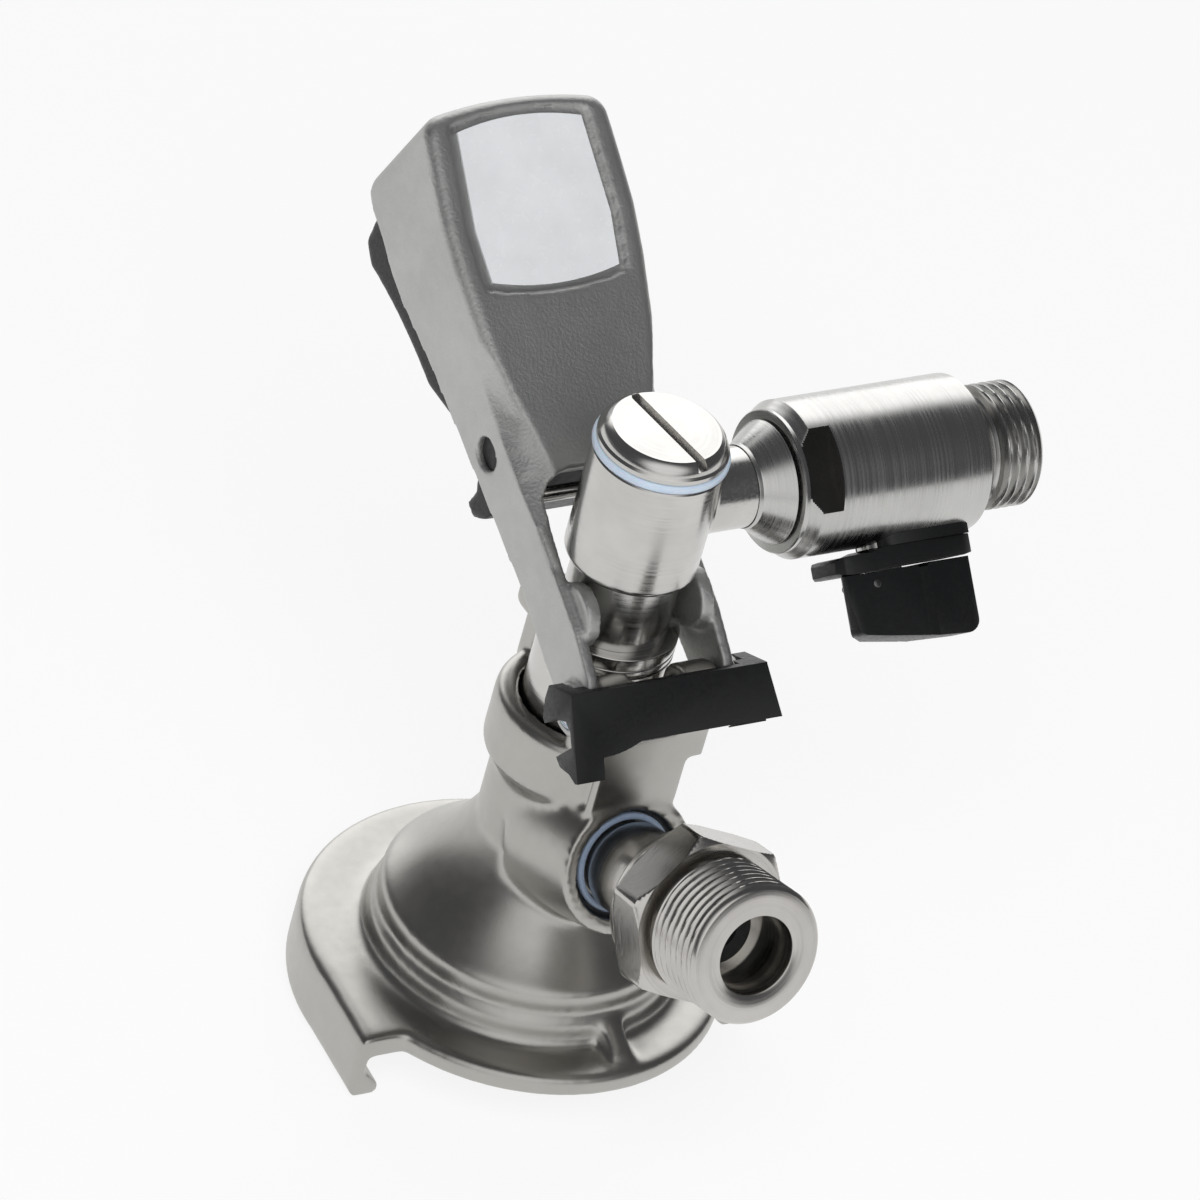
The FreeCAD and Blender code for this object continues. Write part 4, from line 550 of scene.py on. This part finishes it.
lathe("gas_collar", [(40.4, 8.75), (40.4, 11.6), (40.9, 12.9), (42.2, 14.2), (44.4, 14.7),
                     (45.0, 8.75)],
      M["gas"], GAS, "body", "turned_steel", ease=0.5)
hex_steps = (0.0, 0.1, 0.25, 0.45, 0.7, 1.0, 1.4)
hex_rows = [(HEX_BACK, HEX_BORE)]
hex_rows += [(HEX_BACK + d, HEX_CORNER) for d in hex_steps]
hex_rows += [(HEX_FRONT - d, HEX_CORNER) for d in reversed(hex_steps)]
hex_rows += [(HEX_FRONT, 11.8), (HEX_FRONT - 2, HEX_BORE)]
lathe("gas_hexagon", hex_rows, M["gas"], GAS, "body", "turned_steel", segments=240,
      radius=hexagon_radius)


# Label film, a little smaller than its seat

FILM_SHARE = (0.955, 0.965)


def label_film():
    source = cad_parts["label_plate"].data
    into = HANDLE.inverted()
    spots = [into @ v.co for v in source.vertices]
    middle = [(min(p[i] for p in spots) + max(p[i] for p in spots)) / 2 for i in (0, 1)]
    verts = [(middle[0] + (x - middle[0]) * FILM_SHARE[0],
              middle[1] + (y - middle[1]) * FILM_SHARE[1], z) for x, y, z in spots]
    faces = [tuple(face.vertices) for face in source.polygons]
    add_object("label_film", verts, faces, M["label"], HANDLE, "handle", "label_white",
               ("label_plate",))


label_film()


# Clip, stop pad and valve lever

rounded_copy("hinge_clip", "clip", M["black"], "body", "black_plastic", 0.35)


def rings_with_ends(count, row):
    faces = loft(count, row, False)
    faces.append(tuple(range(row)))
    faces.append(tuple(range(row * (count - 1), row * count)))
    return faces


def bar(name, stations, nodes, width):
    """Moulded bar along the lever's X axis: stations of (x, low z, high z, front y, back y)."""
    verts = []
    for x, low, high, front, back in stations:
        verts += [(x, front, low), (x, back, low), (x, back, high), (x, front, high)]
    obj = add_object(name, verts, rings_with_ends(len(stations), 4), M["black"], LEVER,
                     "valve", "black_plastic", nodes)
    round_edges(obj, width, 3, 25)
    make_smooth(obj.data, 35)


PAD_SEAT = VALVE_RADIUS + 0.03
PAD_FOOT = -14.93


def stop_pad():
    """Fixed stop pad round the stem: flat below, hollow above where it sits on the valve."""
    stations = [(43.6, 4.2), (44.4, 5.6), (45.8, 6.4), (60.0, 6.4), (61.6, 5.6), (62.3, 4.2)]
    arc = [math.cos(math.pi * k / 12) for k in range(13)]
    verts = []
    for x, half in stations:
        verts += [(x, -half, PAD_FOOT), (x, half, PAD_FOOT)]
        verts += [(x, half * c, -math.sqrt(PAD_SEAT ** 2 - (half * c) ** 2)) for c in arc]
    faces = rings_with_ends(len(stations), len(arc) + 2)
    obj = add_object("stop_pad", verts, faces, M["black"], LEVER, "outlet", "black_plastic",
                     ("stem_gland",))
    obj.data.set_sharp_from_angle(angle=math.radians(35))


stop_pad()

# Plate of the lever: x, low z, high z, half width
plate = [(33.6, -18.4, -16.4, 4.2), (34.8, -18.9, -15.8, 5.7), (36.3, -19.0, -15.6, 6.2),
         (40.5, -19.0, -15.6, 6.2), (43.0, -18.8, -14.95, 6.2), (51.5, -18.7, -14.95, 6.2),
         (60.5, -18.7, -14.95, 4.8), (62.6, -18.4, -15.0, 3.8)]
bar("lever_hub", [(x, low, high, -half, half) for x, low, high, half in plate],
    ("valve_lever",), 0.15)

# Grip below the plate, with a rounded corner at both ends of its lower edge
GRIP_TOP, GRIP_TOP_OUT, GRIP_SLOT = -19.1, -18.95, -19.6
GRIP_FRONT = -5.9
grip = [(34.0, -20.2, GRIP_TOP, GRIP_FRONT, -5.0), (34.4, -24.0, GRIP_TOP, GRIP_FRONT, -4.2)]
for k in range(7):
    turn = math.radians(15 * k)
    grip.append((35.2 + 1.6 * (1 - math.cos(turn)) + 0.08 * k, -28.0 - 2.1 * math.sin(turn),
                 GRIP_TOP, GRIP_FRONT, -3.2 + 0.5 * k))
grip += [(41.5, -30.8, GRIP_TOP, GRIP_FRONT, 5.2), (49.6, -31.9, GRIP_TOP, GRIP_FRONT, 5.9),
         (49.9, -31.9, GRIP_SLOT, GRIP_FRONT, 5.9), (51.7, -32.2, GRIP_SLOT, GRIP_FRONT, 5.9),
         (52.0, -32.2, GRIP_TOP_OUT, -5.8, 5.8), (59.5, -32.6, GRIP_TOP_OUT, -3.3, 3.5)]
for k in range(1, 7):
    turn = math.radians(15 * k)
    grip.append((59.5 + 2.9 * math.sin(turn), -32.6 + 2.6 * (1 - math.cos(turn)),
                 GRIP_TOP_OUT, -3.3 + 0.1 * k, 3.5 - 0.15 * k))
bar("lever_grip", grip, (), 0.3)

RIVET = LEVER @ Matrix.Translation((40.6, 0, -21.2)) @ Matrix.Rotation(math.radians(90), 4, "X")
lathe("lever_rivet", [(-5.2, 0.05), (-5.2, 0.75), (6.02, 0.75), (6.1, 0.6), (6.1, 0.05)],
      M["pin"], RIVET, "valve", "turned_steel", ("lever_pin",), segments=24)


# Materials of the pieces that stay as the CAD has them

NODE_LOOKS = {
    "up": ("elbow", "cap_screw", "latch_bar"),
    "side": ("valve_ball", "valve_stem", "hinge_pin_left", "hinge_pin_right"),
    "rubber": ("body_seal", "probe_seal", "probe_oring_upper", "probe_oring_lower",
               "gas_check_valve"),
    "seal": ("check_ball", "valve_seat_inner", "valve_seat_outer", "hinge_bush_left",
             "hinge_bush_right"),
    "black": ("trigger_pin",),
}
for key, names in NODE_LOOKS.items():
    for node in names:
        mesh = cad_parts[node].data
        if not mesh.materials:
            mesh.materials.append(M[key])
        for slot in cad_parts[node].material_slots:
            slot.material = M[key]


# Floor, world, light and camera

FLOOR_HALF = 30.0
FLOOR_LEVEL = cad_box[0][2]
FLOOR_GREY = 0.86
FLOOR_GLOW = 0.86


def make_floor():
    """Pale floor that also glows for the rays that see it, and keeps the object's shadow."""
    h = FLOOR_HALF
    mesh = bpy.data.meshes.new("floor")
    mesh.from_pydata([(x, y, FLOOR_LEVEL) for x, y in ((-h, -h), (h, -h), (h, h), (-h, h))],
                     [], [(0, 1, 2, 3)])
    obj = into_scene("floor", mesh)
    mat, tree, shader = new_material("floor_white", grey(FLOOR_GREY), 0.0, 0.9)
    out = tree.nodes["Material Output"]
    glow = tree.nodes.new("ShaderNodeEmission")
    glow.inputs["Color"].default_value = (1, 1, 1, 1)
    paths = tree.nodes.new("ShaderNodeLightPath")
    seen = paths.outputs["Is Camera Ray"]
    for ray in ("Is Glossy Ray", "Is Transmission Ray"):
        either = tree.nodes.new("ShaderNodeMath")
        either.operation = "MAXIMUM"
        tree.links.new(seen, either.inputs[0])
        tree.links.new(paths.outputs[ray], either.inputs[1])
        seen = either.outputs["Value"]
    scale = tree.nodes.new("ShaderNodeMath")
    scale.operation = "MULTIPLY"
    scale.inputs[1].default_value = FLOOR_GLOW
    tree.links.new(seen, scale.inputs[0])
    mix = tree.nodes.new("ShaderNodeMixShader")
    link(tree, scale, "Value", mix, 0)
    tree.links.new(shader.outputs[0], mix.inputs[1])
    tree.links.new(glow.outputs[0], mix.inputs[2])
    tree.links.new(mix.outputs[0], out.inputs["Surface"])
    mesh.materials.append(mat)


ROOM = (0.09, 0.09, 0.095, 1)
# Soft windows of the room: direction, brightness, and where each starts and is full
WINDOWS = (
    ((0.42, 0.85, 0.31), 1.80, 0.70, 0.92),
    ((-0.30, -0.80, 0.52), 0.95, 0.70, 0.95),
)


def make_world():
    """A dim room with a large soft window behind the object and a weaker one in front."""
    world = bpy.data.worlds.new("studio")
    bpy.context.scene.world = world
    world.use_nodes = True
    tree = world.node_tree
    out = tree.nodes["World Output"]
    last = tree.nodes["Background"]
    last.inputs["Color"].default_value = ROOM
    for direction, strength, start, full in WINDOWS:
        coords = tree.nodes.new("ShaderNodeTexCoord")
        toward = tree.nodes.new("ShaderNodeVectorMath")
        toward.operation = "DOT_PRODUCT"
        toward.inputs[1].default_value = Vector(direction).normalized()
        link(tree, coords, "Generated", toward, 0)
        pane = ramp(tree, toward, grey(0), grey(1), (start, full), out="Value")
        pane.color_ramp.interpolation = "EASE"
        back = tree.nodes.new("ShaderNodeBackground")
        back.inputs["Strength"].default_value = strength
        link(tree, pane, "Color", back, "Color")
        both = tree.nodes.new("ShaderNodeAddShader")
        tree.links.new(last.outputs[0], both.inputs[0])
        tree.links.new(back.outputs[0], both.inputs[1])
        last = both
    tree.links.new(last.outputs[0], out.inputs["Surface"])


KEY_SPOT = (-0.55, -0.75, 1.20)
KEY_TARGET = (0, 0, 0.06)
KEY_POWER = 13.5
KEY_SIZE = 0.9


def make_key():
    light = bpy.data.lights.new("key", "AREA")
    light.shape = "RECTANGLE"
    light.size = KEY_SIZE
    light.size_y = KEY_SIZE
    light.energy = KEY_POWER
    obj = into_scene("key", light)
    obj.location = KEY_SPOT
    toward = Vector(KEY_TARGET) - Vector(KEY_SPOT)
    obj.rotation_euler = toward.to_track_quat("-Z", "Y").to_euler()
    obj.visible_glossy = False


# Camera: turn, rise and roll in degrees, target in millimetres, distance in metres
CAM_TURN = (-38.7778, 36.6692, 16.0637)
CAM_TARGET = (9.2169, 16.1679, 70.0)
CAM_AWAY = 2.0
CAM_SENSOR = 36
FOCAL_PIXELS = 11113.48
FRAME_PIXELS = 1200


def make_camera():
    turn, rise, roll = (math.radians(v) for v in CAM_TURN)
    back = Vector((math.sin(turn) * math.cos(rise), -math.cos(turn) * math.cos(rise),
                   math.sin(rise)))
    right = Vector((math.cos(turn), math.sin(turn), 0))
    up = back.cross(right)
    side = math.cos(roll) * right + math.sin(roll) * up
    top = -math.sin(roll) * right + math.cos(roll) * up
    data = bpy.data.cameras.new("camera")
    data.lens = FOCAL_PIXELS / FRAME_PIXELS * CAM_SENSOR
    data.sensor_width = CAM_SENSOR
    data.sensor_fit = "HORIZONTAL"
    obj = into_scene("camera", data)
    axes = Matrix((side, top, back)).transposed().to_4x4()
    obj.matrix_world = Matrix.Translation(Vector(CAM_TARGET) * MM + back * CAM_AWAY) @ axes
    bpy.context.scene.camera = obj


make_floor()
make_world()
make_key()
make_camera()
bpy.context.scene.view_settings.view_transform = "Standard"
